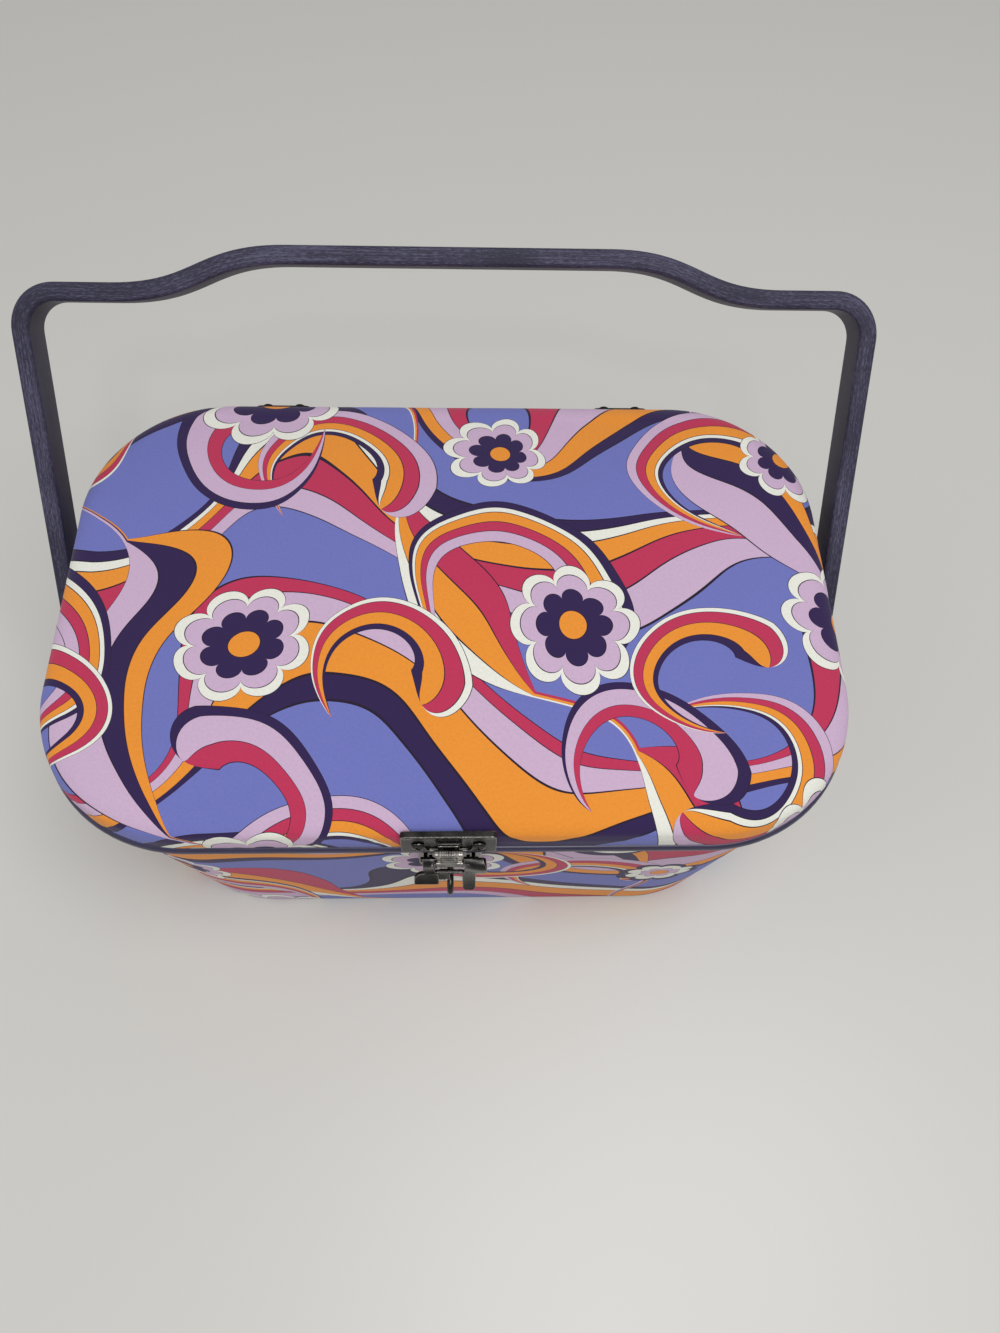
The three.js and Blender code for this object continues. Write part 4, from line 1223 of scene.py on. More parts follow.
def roundedProfile(radius, low, high, soft, steps=6):
    # half outline of a disc with soft rims, from the axis out and back
    turns = quarterTurn(steps)
    profile = [(onAxis, low)]
    profile += [(radius - soft + soft * math.sin(turn), low + soft - soft * math.cos(turn))
                for turn in turns]
    profile += [(radius - soft + soft * math.cos(turn), high - soft + soft * math.sin(turn))
                for turn in turns]
    return profile + [(onAxis, high)]


def domeProfile(radius, foot, height, steps=12):
    return [(max(radius * math.cos(turn), onAxis), foot + height * math.sin(turn) ** 0.9)
            for turn in quarterTurn(steps)]


def makeBolt(side, name):
    look = boltLook
    inner, outer = sorted(abs(corner.x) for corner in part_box("handle_bolt_" + name))
    seat = outer - look["headHeight"]
    pivot = Vector((0, handlePivot.y, handlePivot.z))
    head, shank, soft = look["headRadius"], look["shankRadius"], look["soft"]
    profile = [(onAxis, inner), (shank - soft, inner), (shank, inner + soft), (shank, seat),
               (head - 0.0002, seat), (head, seat + soft)]
    profile += domeProfile(head, seat + 0.0005, look["headHeight"] - 0.0005)
    bolt = lathe("handleBolt_" + name, profile, pivot, (side, 0, 0))
    # screwdriver slot across the head
    reach, half = head * 1.1, look["slotWidth"] / 2
    ends = sorted((side * (outer - look["slotDepth"]), side * (outer + 0.002)))
    slot = extrudeX(rectangle((pivot.y - reach, pivot.z - half), (pivot.y + reach, pivot.z + half)), *ends)
    combine("DIFFERENCE", bolt, slot)
    smoothShade(bolt.data, 35)
    markEdges(bolt.data)
    place(bolt, "gunmetal", "base", stands=["handle_bolt_" + name])


def tube(name, outer, hole, low, high, soft, direction, at):
    # a ring with a hole along its axis, its four rims softened
    profile = []
    for radius, along, start in ((outer - soft, low + soft, 270), (outer - soft, high - soft, 0),
                                 (hole + soft, high - soft, 90), (hole + soft, low + soft, 180)):
        for i in range(5):
            angle = math.radians(start + 90 * i / 4)
            profile.append((radius + soft * math.cos(angle), along + soft * math.sin(angle)))
    return loft(name, spin(profile, at, direction, 48), looped=True)


def makeHandleFittings():
    look = boltLook
    pivot = Vector((0, handlePivot.y, handlePivot.z))
    hole = look["shankRadius"] + basket["seatGap"]
    for side, name in ((-1, "left"), (1, "right")):
        makeBolt(side, name)
        direction = (side, 0, 0)
        for piece, node, radius, soft, finish, body in (
            ("handleBush_", "handle_bush_", look["bushRadius"], look["bushRound"], "bush_plastic",
             "handle_bushes"),
            ("innerWasher_", "inner_washer_", look["washerRadius"], look["soft"], "gunmetal", "base"),
        ):
            reach = sorted(abs(corner.x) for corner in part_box(node + name))
            ring = tube(piece + name, radius, hole, *reach, soft, direction, pivot)
            if finish == "gunmetal":
                markEdges(ring.data)
            place(ring, finish, body, stands=[node + name])
        tip, mouth = sorted(abs(corner.x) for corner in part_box("cap_nut_" + name))
        nut, dome, bore = look["nutRadius"], look["nutDome"], tip + look["nutWall"]
        profile = [(radius, 2 * tip + dome - along)
                   for radius, along in domeProfile(nut * 0.9, tip, dome)][::-1]
        profile += [(nut * 0.94, tip + 0.0029), (nut, tip + 0.0032), (nut, mouth - 0.0004),
                    (nut - 0.0004, mouth), (hole, mouth), (hole, bore), (onAxis, bore)]
        capNut = lathe("capNut_" + name, profile, pivot, direction, 36)
        markEdges(capNut.data)
        place(capNut, "gunmetal", "base", stands=["cap_nut_" + name])


makeHandleFittings()
print("stage: handle fittings made")


# Hinges, fused from leaf, neck and knuckles

hingeLook = {
    "leafThickness": 0.0012,
    "barrelRadius": 0.0021,
    "pinRadius": 0.0009,
    "pinHead": 1.7,
    "neckRise": 0.0026,
    "neckLap": 0.0004,
    "cornerRound": 0.0022,
    "sharp": 0.0001,
    "bendRise": 0.0078,
    "voxel": 0.00025,
    "soft": 2,
    "keep": 0.3,
}


def band(path, thickness):
    # a closed outline of (y, z) that follows a path at one thickness, on the path's left
    back = []
    for i, (y, z) in enumerate(path):
        before = path[max(i - 1, 0)]
        after = path[min(i + 1, len(path) - 1)]
        ahead = Vector((after[0] - before[0], after[1] - before[1])).normalized()
        back.append((y - ahead.y * thickness, z + ahead.x * thickness))
    return list(path) + back[::-1]


def makeHingePin(name, pin):
    look = hingeLook
    reach = sizeOf("hinge_pin_" + name).x / 2
    head = look["pinRadius"] * look["pinHead"]
    profile = [(onAxis, -reach)]
    profile += [(head * math.sin(turn), -reach + 0.0006 * (1 - math.cos(turn)))
                for turn in quarterTurn(5, 1)]
    profile += [(head, -reach + 0.0007), (look["pinRadius"], -reach + 0.0008)]
    profile += [(radius, -along) for radius, along in profile[::-1]]
    hingePin = lathe("hingePin_" + name, profile, pin, (1, 0, 0), 24)
    markEdges(hingePin.data)
    place(hingePin, "gunmetal", "base", stands=["hinge_pin_" + name])


def makeHinges():
    look = hingeLook
    gap = basket["seatGap"]
    thick = look["leafThickness"]
    neck = look["neckRise"]
    curved, sharp = look["cornerRound"], look["sharp"]
    back = lidTrimPlan[1] / 2 + 2 * gap  # the leaves' flat necks stand here, clear of both trims

    def leafOf(path, low, high, foot, top, radii):
        leaf = extrudeX(band(path[::-1], thick), low.x - 0.001, high.x + 0.001)
        outline = roundedOutline((low.x, foot), (high.x, top), radii)
        return combine("INTERSECT", leaf, extrudeY(outline, back - 0.02, back + 0.02))

    def knuckleOf(middle, foot, top):
        ends = middle - knuckle / 2, middle + knuckle / 2
        return [extrudeX(rectangle((back, foot), (back + thick, top)), *ends),
                rodX(look["barrelRadius"], *ends, pin.y, pin.z)]
    for name in ("left", "right"):
        pin = middleOf("hinge_pin_" + name)
        low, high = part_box("hinge_lid_leaf_" + name)
        width = high.x - low.x
        knuckle = width / 3 - gap
        path = [(back, rimHeight + 0.0005), (back, rimHeight + neck), (back - 0.0002, rimHeight + 0.0045),
                (lidPlan[1] / 2 - lidLook["sideLean"] + gap, high.z)]
        leaf = leafOf(path, low, high, rimHeight - 0.001, high.z, [sharp, sharp, curved, curved])
        # only the middle knuckle's neck runs on below the leaf
        clip = rectangle((back - 0.01, rimHeight - 0.01), (back + 0.01, rimHeight + neck))
        leaf = combine("DIFFERENCE", leaf, extrudeX(clip, low.x - 0.01, high.x + 0.01))
        parts = [leaf, *knuckleOf(pin.x, rimHeight, rimHeight + neck + look["neckLap"])]
        lidLeaf = cast("hingeLidLeaf_" + name, parts, look["voxel"], look["soft"], look["keep"])
        place(lidLeaf, "gunmetal", "lid", stands=["hinge_lid_leaf_" + name])

        low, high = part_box("hinge_base_leaf_" + name)
        bend = low.z + look["bendRise"]
        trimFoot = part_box("base_rim_trim")[0].z - thick
        path = [(boxReach(low.z) + gap, low.z), (boxReach(bend) + gap, bend),
                (boxReach(trimFoot) + basket["trimProud"] + gap, trimFoot), (back, rimHeight - neck)]
        parts = [leafOf(path, low, high, low.z, rimHeight, [curved, curved, sharp, sharp])]
        for side in (-1, 1):
            middle = pin.x + side * (width - knuckle) / 2
            parts += knuckleOf(middle, rimHeight - neck - look["neckLap"], rimHeight)
        boxLeaf = cast("hingeBoxLeaf_" + name, parts, look["voxel"], look["soft"], look["keep"])
        place(boxLeaf, "gunmetal", "base", stands=["hinge_base_leaf_" + name])
        makeHingePin(name, pin)


makeHinges()
print("stage: hinges made")


# Draw latch

latchLook = {"plate": 0.0014, "voxel": 0.00022, "cutSpan": (-0.2, -0.05), "overrun": 0.001, "sharp": 0.0001,
             "pinSoft": 0.0003}


def frontOutline(points):
    # outline given as (reach towards the front, height)
    return [(-reach, height) for reach, height in points]


def curve(start, bend, end, steps=10):
    return [((1 - t) ** 2 * start[0] + 2 * t * (1 - t) * bend[0] + t * t * end[0],
             (1 - t) ** 2 * start[1] + 2 * t * (1 - t) * bend[1] + t * t * end[1])
            for t in (i / steps for i in range(steps + 1))]


def arcOf(centre, radius, degrees):
    # points of (reach, height) round a centre
    turns = [math.radians(angle) for angle in degrees]
    return [(centre[0] + radius * math.cos(turn), centre[1] + radius * math.sin(turn)) for turn in turns]


def across(points, low, high):
    # a side outline of (reach, height), run along X
    return extrudeX(frontOutline(points), low, high)


def slantPlate(back, low, high, thick, start, end):
    # a plate between two heights, thick in front of a back that is given by height
    outline = [(back(low), low), (back(high), high), (back(high) + thick, high), (back(low) + thick, low)]
    return across(outline, start, end)


def cutTo(part, low, high, radii):
    # keeps what lies inside a rounded outline seen from the front
    return combine("INTERSECT", part, extrudeY(roundedOutline(low, high, radii), *latchLook["cutSpan"]))


def makePin(name, node, radius, sides, body):
    low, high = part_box(node)
    half = (high.x - low.x) / 2
    profile = roundedProfile(radius, -half, half, latchLook["pinSoft"])
    pin = lathe(name, profile, middleOf(node), (1, 0, 0), sides)
    markEdges(pin.data)
    place(pin, "gunmetal", body, stands=[node])


hookLook = {
    "tipReach": 0.0055,
    "lean": 0.0015,
    "height": 0.0136,
    "footRound": 0.0014,
    "topRound": 0.0024,
    "flange": 0.0023,
    "flangeHeight": 0.0017,
    "flangeRound": 0.0016,
    "flangeCut": 0.006,
    "pressHalf": 0.0082,
    "pressDepth": 0.0006,
    "pressFoot": 0.0009,
    "pressTop": 0.0024,
    "pressRound": 0.0018,
    "tongueRise": 0.0022,
    "tongueThickness": 0.0014,
    "tongueHalf": 0.0025,
    "stepHalf": 0.0038,
    "ridgeHalf": 0.0034,
    "ridgeRadius": 0.0004,
    "ridgeReach": 0.00185,
    "ridgeRise": 0.0022,
    "ridgeStep": 0.0016,
}


def makeHookPlate():
    # cast plate with a thick upper edge, a pressed field between the screws and a turned-up tongue
    look = hookLook
    low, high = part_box("latch_hook_plate")
    thick, sharp = latchLook["plate"], latchLook["sharp"]
    top = high.z
    tip = -low.y
    screw = middleOf("latch_hook_screw_1")
    slope = look["lean"] / (high.z - low.z)

    def back(height):
        return tip - look["tipReach"] - (height - low.z) * slope
    half = high.x
    ends = (-half - latchLook["overrun"], half + latchLook["overrun"])
    body = cutTo(slantPlate(back, low.z, top, thick, *ends), (-half, low.z), (half, top),
                 [look["footRound"], look["footRound"], look["topRound"], look["topRound"]])
    front = back(top) + thick
    lip = [(front + 0.0003, top - look["flangeHeight"]), (front + 0.0003, top),
           (front - look["flange"], top), (front - look["flange"], top - look["flangeHeight"] * 0.7),
           (front - thick, top - look["flangeHeight"])]
    flange = cutTo(across(lip, *ends), (-half, top - look["flangeCut"]), (half, top),
                   [sharp, sharp, look["flangeRound"], look["flangeRound"]])
    field = roundedOutline((-look["pressHalf"], low.z + look["pressFoot"]),
                           (look["pressHalf"], top - look["pressTop"]), [look["pressRound"]] * 4)
    press = extrudeY(field, latchLook["cutSpan"][0], -back(screw.z) - thick + look["pressDepth"])
    body = combine("DIFFERENCE", body, press)
    tongueFoot = low.z + look["tongueRise"]
    tongueTop = tongueFoot + look["tongueThickness"]
    root = back(tongueTop)
    hook = [(root + 0.0002, tongueFoot), (tip - 0.0006, tongueFoot), (tip, tongueFoot + 0.0005),
            (tip + 0.0001, tongueTop + 0.0005), (tip - 0.0005, tongueTop + 0.0009),
            (tip - 0.0011, tongueTop), (root + 0.0023, tongueTop), (root + 0.0016, tongueTop + 0.0012),
            (root, tongueTop + 0.0012)]
    # the step that the tongue was bent from
    step = [(root, tongueFoot), (root + 0.0019, tongueFoot), (root + 0.0018, tongueTop + 0.0036),
            (root, tongueTop + 0.0046)]
    parts = [body, flange, across(hook, -look["tongueHalf"], look["tongueHalf"]),
             across(step, -look["stepHalf"], look["stepHalf"])]
    for i in range(2):
        ridge = tongueTop + look["ridgeRise"] + look["ridgeStep"] * i
        parts.append(rodX(look["ridgeRadius"], -look["ridgeHalf"], look["ridgeHalf"],
                          -(root + look["ridgeReach"]), ridge, 12))
    plate = cast("latchHookPlate", parts, latchLook["voxel"], 3, 0.35)
    place(plate, "gunmetal", "lid", stands=["latch_hook_plate"])


baseLook = {
    "topDrop": 0.0052,
    "footRound": 0.005,
    "topRound": 0.0015,
    "earOuter": 0.0096,
    "earInner": 0.0082,
    "earMargin": 0.00125,
    "earFoot": 0.0084,
    "pinRadius": 0.001,
}


def makeLatchBase():
    # plate on the box with two thick lugs that carry the lever's pins
    look = baseLook
    low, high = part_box("latch_base_plate")
    gap = basket["seatGap"]
    top = rimHeight - look["topDrop"]

    def back(height):
        return boxReach(height) + gap
    body = slantPlate(back, low.z, top, latchLook["plate"], low.x, high.x)
    body = cutTo(body, (low.x, low.z), (high.x, top),
                 [look["footRound"], look["footRound"], look["topRound"], look["topRound"]])
    pivot = middleOf("latch_lever_pin_left")
    arc = arcOf((-pivot.y, pivot.z), look["earMargin"], range(-50, 186, 10))
    root = back(top) + 0.0002
    lug = [(root, pivot.z - look["earFoot"]), (root, top - 0.0003)]
    parts = [body]
    for side in (-1, 1):
        parts.append(across(lug + arc[::-1], *sorted((side * look["earInner"], side * look["earOuter"]))))
    plate = cast("latchBasePlate", parts, latchLook["voxel"], 4, 0.35)
    place(plate, "gunmetal", "base", stands=["latch_base_plate"])
    for name in ("left", "right"):
        makePin("latchLeverPin_" + name, "latch_lever_pin_" + name, look["pinRadius"], 24, "base")


stapleLook = {"wire": 0.0012, "straightSteps": 8, "sides": 20, "wearAndHighlightReach": 0.0002}


def makeStaple():
    # a round wire loop on edge, its two ends riveted in the base plate
    look = stapleLook
    low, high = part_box("latch_staple")
    middle = (low.z + high.z) / 2
    wire = look["wire"]
    radius = (high.z - low.z) / 2 - wire
    nose = -low.y - wire - radius
    root = -high.y
    steps = look["straightSteps"]
    line = [(root + (nose - root) * i / steps, middle + radius) for i in range(steps)]
    line += arcOf((nose, middle), radius, range(90, -91, -9))
    line += [(nose + (root - nose) * i / steps, middle - radius) for i in range(1, steps + 1)]
    side = Vector((1, 0, 0))
    turns = [math.tau * k / look["sides"] for k in range(look["sides"])]
    rings = []
    for i, (reach, height) in enumerate(line):
        before = line[max(i - 1, 0)]
        after = line[min(i + 1, len(line) - 1)]
        ahead = Vector((0, -(after[0] - before[0]), after[1] - before[1])).normalized()
        other = ahead.cross(side)
        centre = Vector((0, -reach, height))
        rings.append([centre + wire * (side * math.cos(turn) + other * math.sin(turn)) for turn in turns])
    staple = loft("latchStaple", rings, caps=("first", "last"))
    markEdges(staple.data, look["wearAndHighlightReach"])
    place(staple, "gunmetal", "base", stands=["latch_staple"])


bailLook = {
    "thickness": 0.0016,
    "side": 0.0019,
    "barHeight": 0.0017,
    "barDepth": 0.0024,
    "barRound": 0.0007,
    "ribs": 8,
    "ribStep": 0.00086,
    "ribHalf": 0.00024,
    "webRise": 0.0105,
    "skirtDrop": 0.0068,
    "archDrop": 0.0016,
    "archRadius": 0.0013,
    "archHalf": 0.0028,
    "rodRadius": 0.0006,
    "rodDrop": 0.0019,
    "pinRadius": 0.0008,
}


def makeBail():
    # a flat loop with a ribbed bar above, and an eye below that turns on the lever's pin
    look = bailLook
    low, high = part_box("latch_bail")
    pivot = middleOf("bail_pin")
    half = (high.x - low.x) / 2
    eye = pivot.z - low.z
    thick = look["thickness"]
    back = -pivot.y - thick / 2
    lean = -low.y - thick - back
    rise = high.z - pivot.z

    def at(height):
        return back + lean * (height - pivot.z) / rise
    parts = []
    for sign in (-1, 1):
        ends = sorted((sign * half, sign * (half - look["side"])))
        parts.append(slantPlate(at, pivot.z, high.z - 0.0003, thick, *ends))
    barFoot = high.z - look["barHeight"]
    deep = look["barDepth"]
    front = at(high.z) + deep
    bar = roundedOutline((-front, barFoot), (-front + deep, high.z + 0.0003), [look["barRound"]] * 4, 4)
    parts.append(extrudeX(bar, -half - 0.0003, half + 0.0003))
    rib = [(front + 0.0002, barFoot + 0.0003), (front + 0.0003, high.z - 0.0002),
           (front - 0.0002, high.z + 0.0006), (front - deep + 0.0004, high.z + 0.0006),
           (front - deep + 0.0004, barFoot + 0.0003)]
    for i in range(look["ribs"]):
        x = (i - (look["ribs"] - 1) / 2) * look["ribStep"]
        parts.append(across(rib, x - look["ribHalf"], x + look["ribHalf"]))
    webTop = pivot.z + look["webRise"]
    parts.append(slantPlate(at, pivot.z, webTop, thick, -half, half))
    parts.append(slantPlate(lambda height: back, pivot.z - look["skirtDrop"], pivot.z, thick, -half, half))
    archHeight = webTop - look["archDrop"]
    arch = -(at(archHeight) + thick)
    parts.append(rodX(look["archRadius"], -look["archHalf"], look["archHalf"], arch, archHeight, 24))
    parts.append(rodX(look["rodRadius"], -half - 0.0004, half + 0.0004, arch - look["rodRadius"],
                      archHeight - look["rodDrop"], 16))
    parts.append(rodX(eye, -half, half, pivot.y, pivot.z, 36))
    bail = cast("latchBail", parts, 0.0002, 2, 0.5)
    # the bail takes the lighter gunmetal copy: a painted highlight on its bar and ribs
    place(bail, paintedHighlightMetal, "latch_bail", slot="gunmetal", stands=["latch_bail"])
    makePin("bailPin", "bail_pin", look["pinRadius"], 20, "latch_lever")


leverLook = {
    "thickness": 0.0013,
    "roofRadius": 0.0018,
    "roofSwell": 0.0013,
    "swellFrom": 0.003,
    "swellRun": 0.009,
    "left": -0.0098,
    "right": 0.0138,
    "slices": 24,
    "footDrop": 0.0125,
    "tuck": 0.0010,
    "notchHalf": 0.0055,
    "notchDrop": 0.0022,
    "notchRise": 0.006,
    "notchRound": 0.0008,
    "pinEnds": ((-0.0066, -0.0058), (0.0058, 0.0079)),
    "tipHalf": 0.0135,
    "neckStart": -0.0034,
    "neckStep": 0.0014,
    "neckHalf": 0.0005,
    "cheekMiddle": 0.0069,
    "cheekThickness": 0.0014,
    "cheekMargin": 0.0018,
}


def leverLine(x, pivot, foot):
    # rear line of the lever at one place along its width: a roof about the pivot, then a tucked-in plate
    look = leverLook
    swell = clamp((x - look["swellFrom"]) / look["swellRun"])
    swell = look["roofSwell"] * swell * swell * (3 - 2 * swell)
    line = []
    for angle in range(82, -1, -8):
        turn = math.radians(angle)
        radius = look["roofRadius"] + swell * math.cos(turn) ** 2
        line.append((pivot[0] + radius * math.cos(turn), pivot[1] + radius * math.sin(turn)))
    out, down = line[-1]
    lower = (pivot[0] + look["tuck"], foot)
    return line + curve((out, down - 0.0004 - swell), (out + 0.0002, down - 0.0034 - swell), lower, 9)


def leverFingers(root, foot, lowest):
    # one broad finger turned out, a ribbed neck, and one narrow finger curled
    look = leverLook
    thick = look["thickness"]
    tip = look["tipHalf"]
    start = (root, foot + 0.0030)
    broad = curve(start, (root + 0.0008, foot - 0.0004), (root + 0.0033, foot - 0.0030), 10)
    finger = across(band(broad, thick * 1.2), -tip - latchLook["overrun"], -0.004)
    parts = [cutTo(finger, (-tip, foot - 0.006), (-0.0042, foot + 0.0026), [0.0036, 0.0010, 0.0010, 0.0036])]
    neck = [(root - 0.0006, foot + 0.0026), (root + 0.0010, foot + 0.0022), (root + 0.0026, foot - 0.0024),
            (root + 0.0008, foot - 0.0032), (root - 0.0010, foot - 0.0006)]
    for i in range(3):
        x = look["neckStart"] + i * look["neckStep"]
        parts.append(across(neck, x - look["neckHalf"], x + look["neckHalf"]))
    narrow = curve(start, (root + 0.0004, foot - 0.005), (root + 0.0032, lowest), 12)
    finger = across(band(narrow, thick), 0.0035, 0.011)
    parts.append(cutTo(finger, (0.0047, lowest), (0.0097, foot + 0.003), [0.0024, 0.0024, 0.0005, 0.0005]))
    return parts


def makeLever():
    # roofed thumb plate with two unlike fingers
    look = leverLook
    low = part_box("latch_lever")[0]
    leverPivot = middleOf("latch_lever_pin_left")
    bailPivot = middleOf("bail_pin")
    pivot = (-leverPivot.y, leverPivot.z)
    thick = look["thickness"]
    foot = pivot[1] - look["footDrop"]
    left, right = look["left"], look["right"]
    spots = [left + (right - left) * i / look["slices"] for i in range(look["slices"] + 1)]
    plate = sweepX([frontOutline(band(leverLine(x, pivot, foot), thick)) for x in spots], spots)
    outline = [(left, pivot[1] + 0.004), (left, foot + 0.0036), (left + 0.002, foot + 0.0014)]
    outline += curve((0.004, foot + 0.001), (0.008, foot + 0.001), (right - 0.003, foot + 0.0044), 8)
    outline += curve((right - 0.001, foot + 0.0062), (right, foot + 0.0074), (right, foot + 0.0096), 6)
    outline += curve((right, pivot[1] + 0.0012), (right - 0.0002, pivot[1] + 0.003),
                     (right - 0.003, pivot[1] + 0.004), 6)
    plate = combine("INTERSECT", plate, extrudeY(outline, *latchLook["cutSpan"]))
    notch = roundedOutline((-look["notchHalf"], bailPivot.z - look["notchDrop"]),
                           (look["notchHalf"], pivot[1] + look["notchRise"]), [look["notchRound"]] * 4, 4)
    plate = combine("DIFFERENCE", plate, extrudeY(notch, *latchLook["cutSpan"]))
    parts = [plate]
    # ends of the pin that show beside the bail, and a bead along the lower edge
    rise = pivot[1] + 0.0016
    roof = look["roofRadius"] + thick
    for start, end in look["pinEnds"]:
        parts.append(rodX(0.0007, start, end, -(pivot[0] + roof * 0.84), rise, 16))
    parts.append(rodX(0.0009, left + 0.0012, 0.0050, -(pivot[0] + 0.0018), foot + 0.0017, 20))
    parts += leverFingers(pivot[0] + 0.0014, foot, low.z)
    # cheeks on both sides carry the bail's pin
    margin = look["cheekMargin"]
    cheek = arcOf(pivot, margin, range(180, -1, -15))
    cheek += [(pivot[0] + margin, pivot[1] - 0.006), (-bailPivot.y + margin, bailPivot.z - margin),
              (-bailPivot.y - margin, bailPivot.z - margin), (-bailPivot.y - margin, bailPivot.z + margin)]
    for side in (-1, 1):
        start = side * look["cheekMiddle"] - look["cheekThickness"] / 2
        parts.append(across(cheek, start, start + look["cheekThickness"]))
    lever = cast("latchLever", parts, latchLook["voxel"], 3, 0.4)
    place(lever, "gunmetal", "latch_lever", stands=["latch_lever"])


makeHookPlate()
makeLatchBase()
makeStaple()
makeBail()
makeLever()
print("stage: latch made")


# Screws, set on their seats by Geometry Nodes, one mesh for each body

screwLook = {
    "Head radius": 0.0026,
    "Head height": 0.0011,
    "Slot width": 0.0007,
    "Slot depth": 0.0008,
    "Shank radius": 0.0011,
    "Shank length": 0.0035,
}


def screwTree():
    tree, graph, given = newTree("small screws", screwLook)
    headRadius, headHeight, slotWidth, slotDepth, shankRadius, shankLength = (
        given[key] for key in screwLook)

    def moved(geometry, height):
        made = graph.node("GeometryNodeTransform", values={
            "Geometry": geometry, "Translation": graph.vector(0.0, 0.0, height)})
        return made.outputs[0]

    def block(x, y, z, height):
        cube = graph.node("GeometryNodeMeshCube", values={"Size": graph.vector(x, y, z)})
        return moved(cube.outputs["Mesh"], height)
    ball = graph.node("GeometryNodeMeshUVSphere", values={"Segments": 28, "Rings": 12, "Radius": 1.0})
    dome = graph.node("GeometryNodeTransform", values={
        "Geometry": ball.outputs["Mesh"], "Scale": graph.vector(headRadius, headRadius, headHeight)})
    reach = headRadius * 1.15
    cutters = [block(headRadius * 3, headRadius * 3, headHeight * 2, -headHeight),
               block(reach, slotWidth, slotDepth * 2, headHeight),
               block(slotWidth, reach, slotDepth * 2, headHeight)]
    head = graph.node("GeometryNodeMeshBoolean", {"operation": "DIFFERENCE", "solver": "EXACT"}, {
        "Mesh 1": dome.outputs[0]})
    shank = graph.node("GeometryNodeMeshCylinder", values={
        "Vertices": 16, "Radius": shankRadius, "Depth": shankLength})
    sunk = moved(shank.outputs["Mesh"], shankLength * -0.5 + 0.0003)
    whole = graph.node("GeometryNodeMeshBoolean", {"operation": "UNION", "solver": "EXACT"})
    for joined, solids in ((head, cutters), (whole, [head.outputs[0], sunk])):
        for solid in solids:
            graph.tree.links.new(solid, joined.inputs["Mesh 2"])
    out = graph.node("GeometryNodeInputNamedAttribute", {"data_type": "FLOAT_VECTOR"}, {"Name": "out"})
    turn = graph.node("GeometryNodeInputNamedAttribute", {"data_type": "FLOAT"}, {"Name": "turn"})
    aim = graph.node("FunctionNodeAlignRotationToVector", {"axis": "Z"}, {"Vector": out.outputs[0]})
    about = graph.node("FunctionNodeAxisAngleToRotation", values={
        "Axis": (0.0, 0.0, 1.0), "Angle": turn.outputs[0]})
    turned = graph.node("FunctionNodeRotateRotation", {"rotation_space": "LOCAL"}, {
        "Rotation": aim.outputs[0], "Rotate By": about.outputs[0]})
    spread = graph.node("GeometryNodeInstanceOnPoints", values={
        "Points": given["Geometry"], "Instance": whole.outputs[0], "Rotation": turned.outputs[0]})
    endTree(graph, spread.outputs[0], finishes["gunmetal"])
    return tree


def makeScrews():
    look = screwLook
    tree = screwTree()
    hookTilt = math.atan2(hookLook["lean"], hookLook["height"])
    groups = (
        ("latchHookScrews", "lid", [f"latch_hook_screw_{i}" for i in (1, 2)], "front", hookTilt),
        ("latchBaseScrews", "base", [f"latch_base_screw_{i}" for i in (1, 2)], "front", 0.0),
        ("hingeLidScrews", "lid", [f"hinge_lid_screw_{i}" for i in (1, 2, 3, 4)], "back", 0.14),
        ("hingeBoxScrews", "base", [f"hinge_base_screw_{i}" for i in (1, 2, 3, 4)], "back", 0.0),
    )
    for name, body, nodes, face, tilt in groups:
        sign = -1 if face == "front" else 1
        outward = Vector((0, sign * math.cos(tilt), math.sin(tilt)))
        seats = []
        for node in nodes:
            low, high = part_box(node)
            tip = low if face == "front" else high
            centre = (low + high) / 2
            # the head's top is the outermost point, so its seat lies one head's height behind
            reach = abs(tip.y) - look["Head height"] * math.cos(tilt)
            reach -= math.sin(tilt) * look["Head radius"] * 0.5
            height = centre.z + (abs(tip.y) - abs(centre.y)) * math.tan(tilt)
            seats.append(Vector((centre.x, sign * reach, height)))
        mesh = meshFrom(name, seats, [])
        for item in mesh.attributes.new("out", "FLOAT_VECTOR", "POINT").data:
            item.vector = outward
        for i, item in enumerate(mesh.attributes.new("turn", "FLOAT", "POINT").data):
            item.value = 0.5 + 1.3 * i
        screws = grow(name, tree, look, mesh)
        markEdges(screws.data, 0.0002)
        smoothShade(screws.data, 30)
        place(screws, "gunmetal", body, stands=nodes)


makeScrews()
print("stage: screws made")


# Inside: linings, floor pad, pincushion and tray

liningLook = {"gather": 0.0006, "gatherCount": 84, "wallGather": 0.45, "rows": 14, "lidSoft": 0.0035,
              "lidSideRows": 5, "lidFade": 0.3}


def gathers(mark, total):
    # even folds along a ring, from nought at their crests to minus one between them
    return math.cos(math.tau * mark / total * liningLook["gatherCount"]) * 0.5 - 0.5


def makeWallLining():
    # satin over thin wadding on the wall, lightly gathered
    low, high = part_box("base_wall_lining")
    rows = liningLook["rows"]
    rings = []
    for inset, heights in ((liningInset, range(rows + 1)), (roomInset, range(rows, -1, -1))):
        for i in heights:
            height = low.z + (high.z - low.z) * i / rows
            ring = planRing(boxPlan(height, inset), 1.4)
            marks, total = alongRing(ring)
            points = []
            for (point, outward), mark in zip(ring, marks):
                fade = math.sin(math.pi * i / rows) ** 0.6 if 0 < i < rows else 0.0
                wobble = 0.6 + 0.4 * ripple((*point, height), 0.02, 9.0)
                out = 0.0
                if inset == roomInset:
                    depth = liningLook["gather"] * liningLook["wallGather"]
                    out = depth * gathers(mark, total) * wobble * fade
                points.append(Vector((*(point + outward * out), height)))
            rings.append(points)
    lining = loft("wallLining", rings, looped=True)
    place(lining, "lining_satin", "base", stands=["base_wall_lining"])
    around = alongRing(planRing(boxPlan((low.z + high.z) / 2, liningInset)))[1]


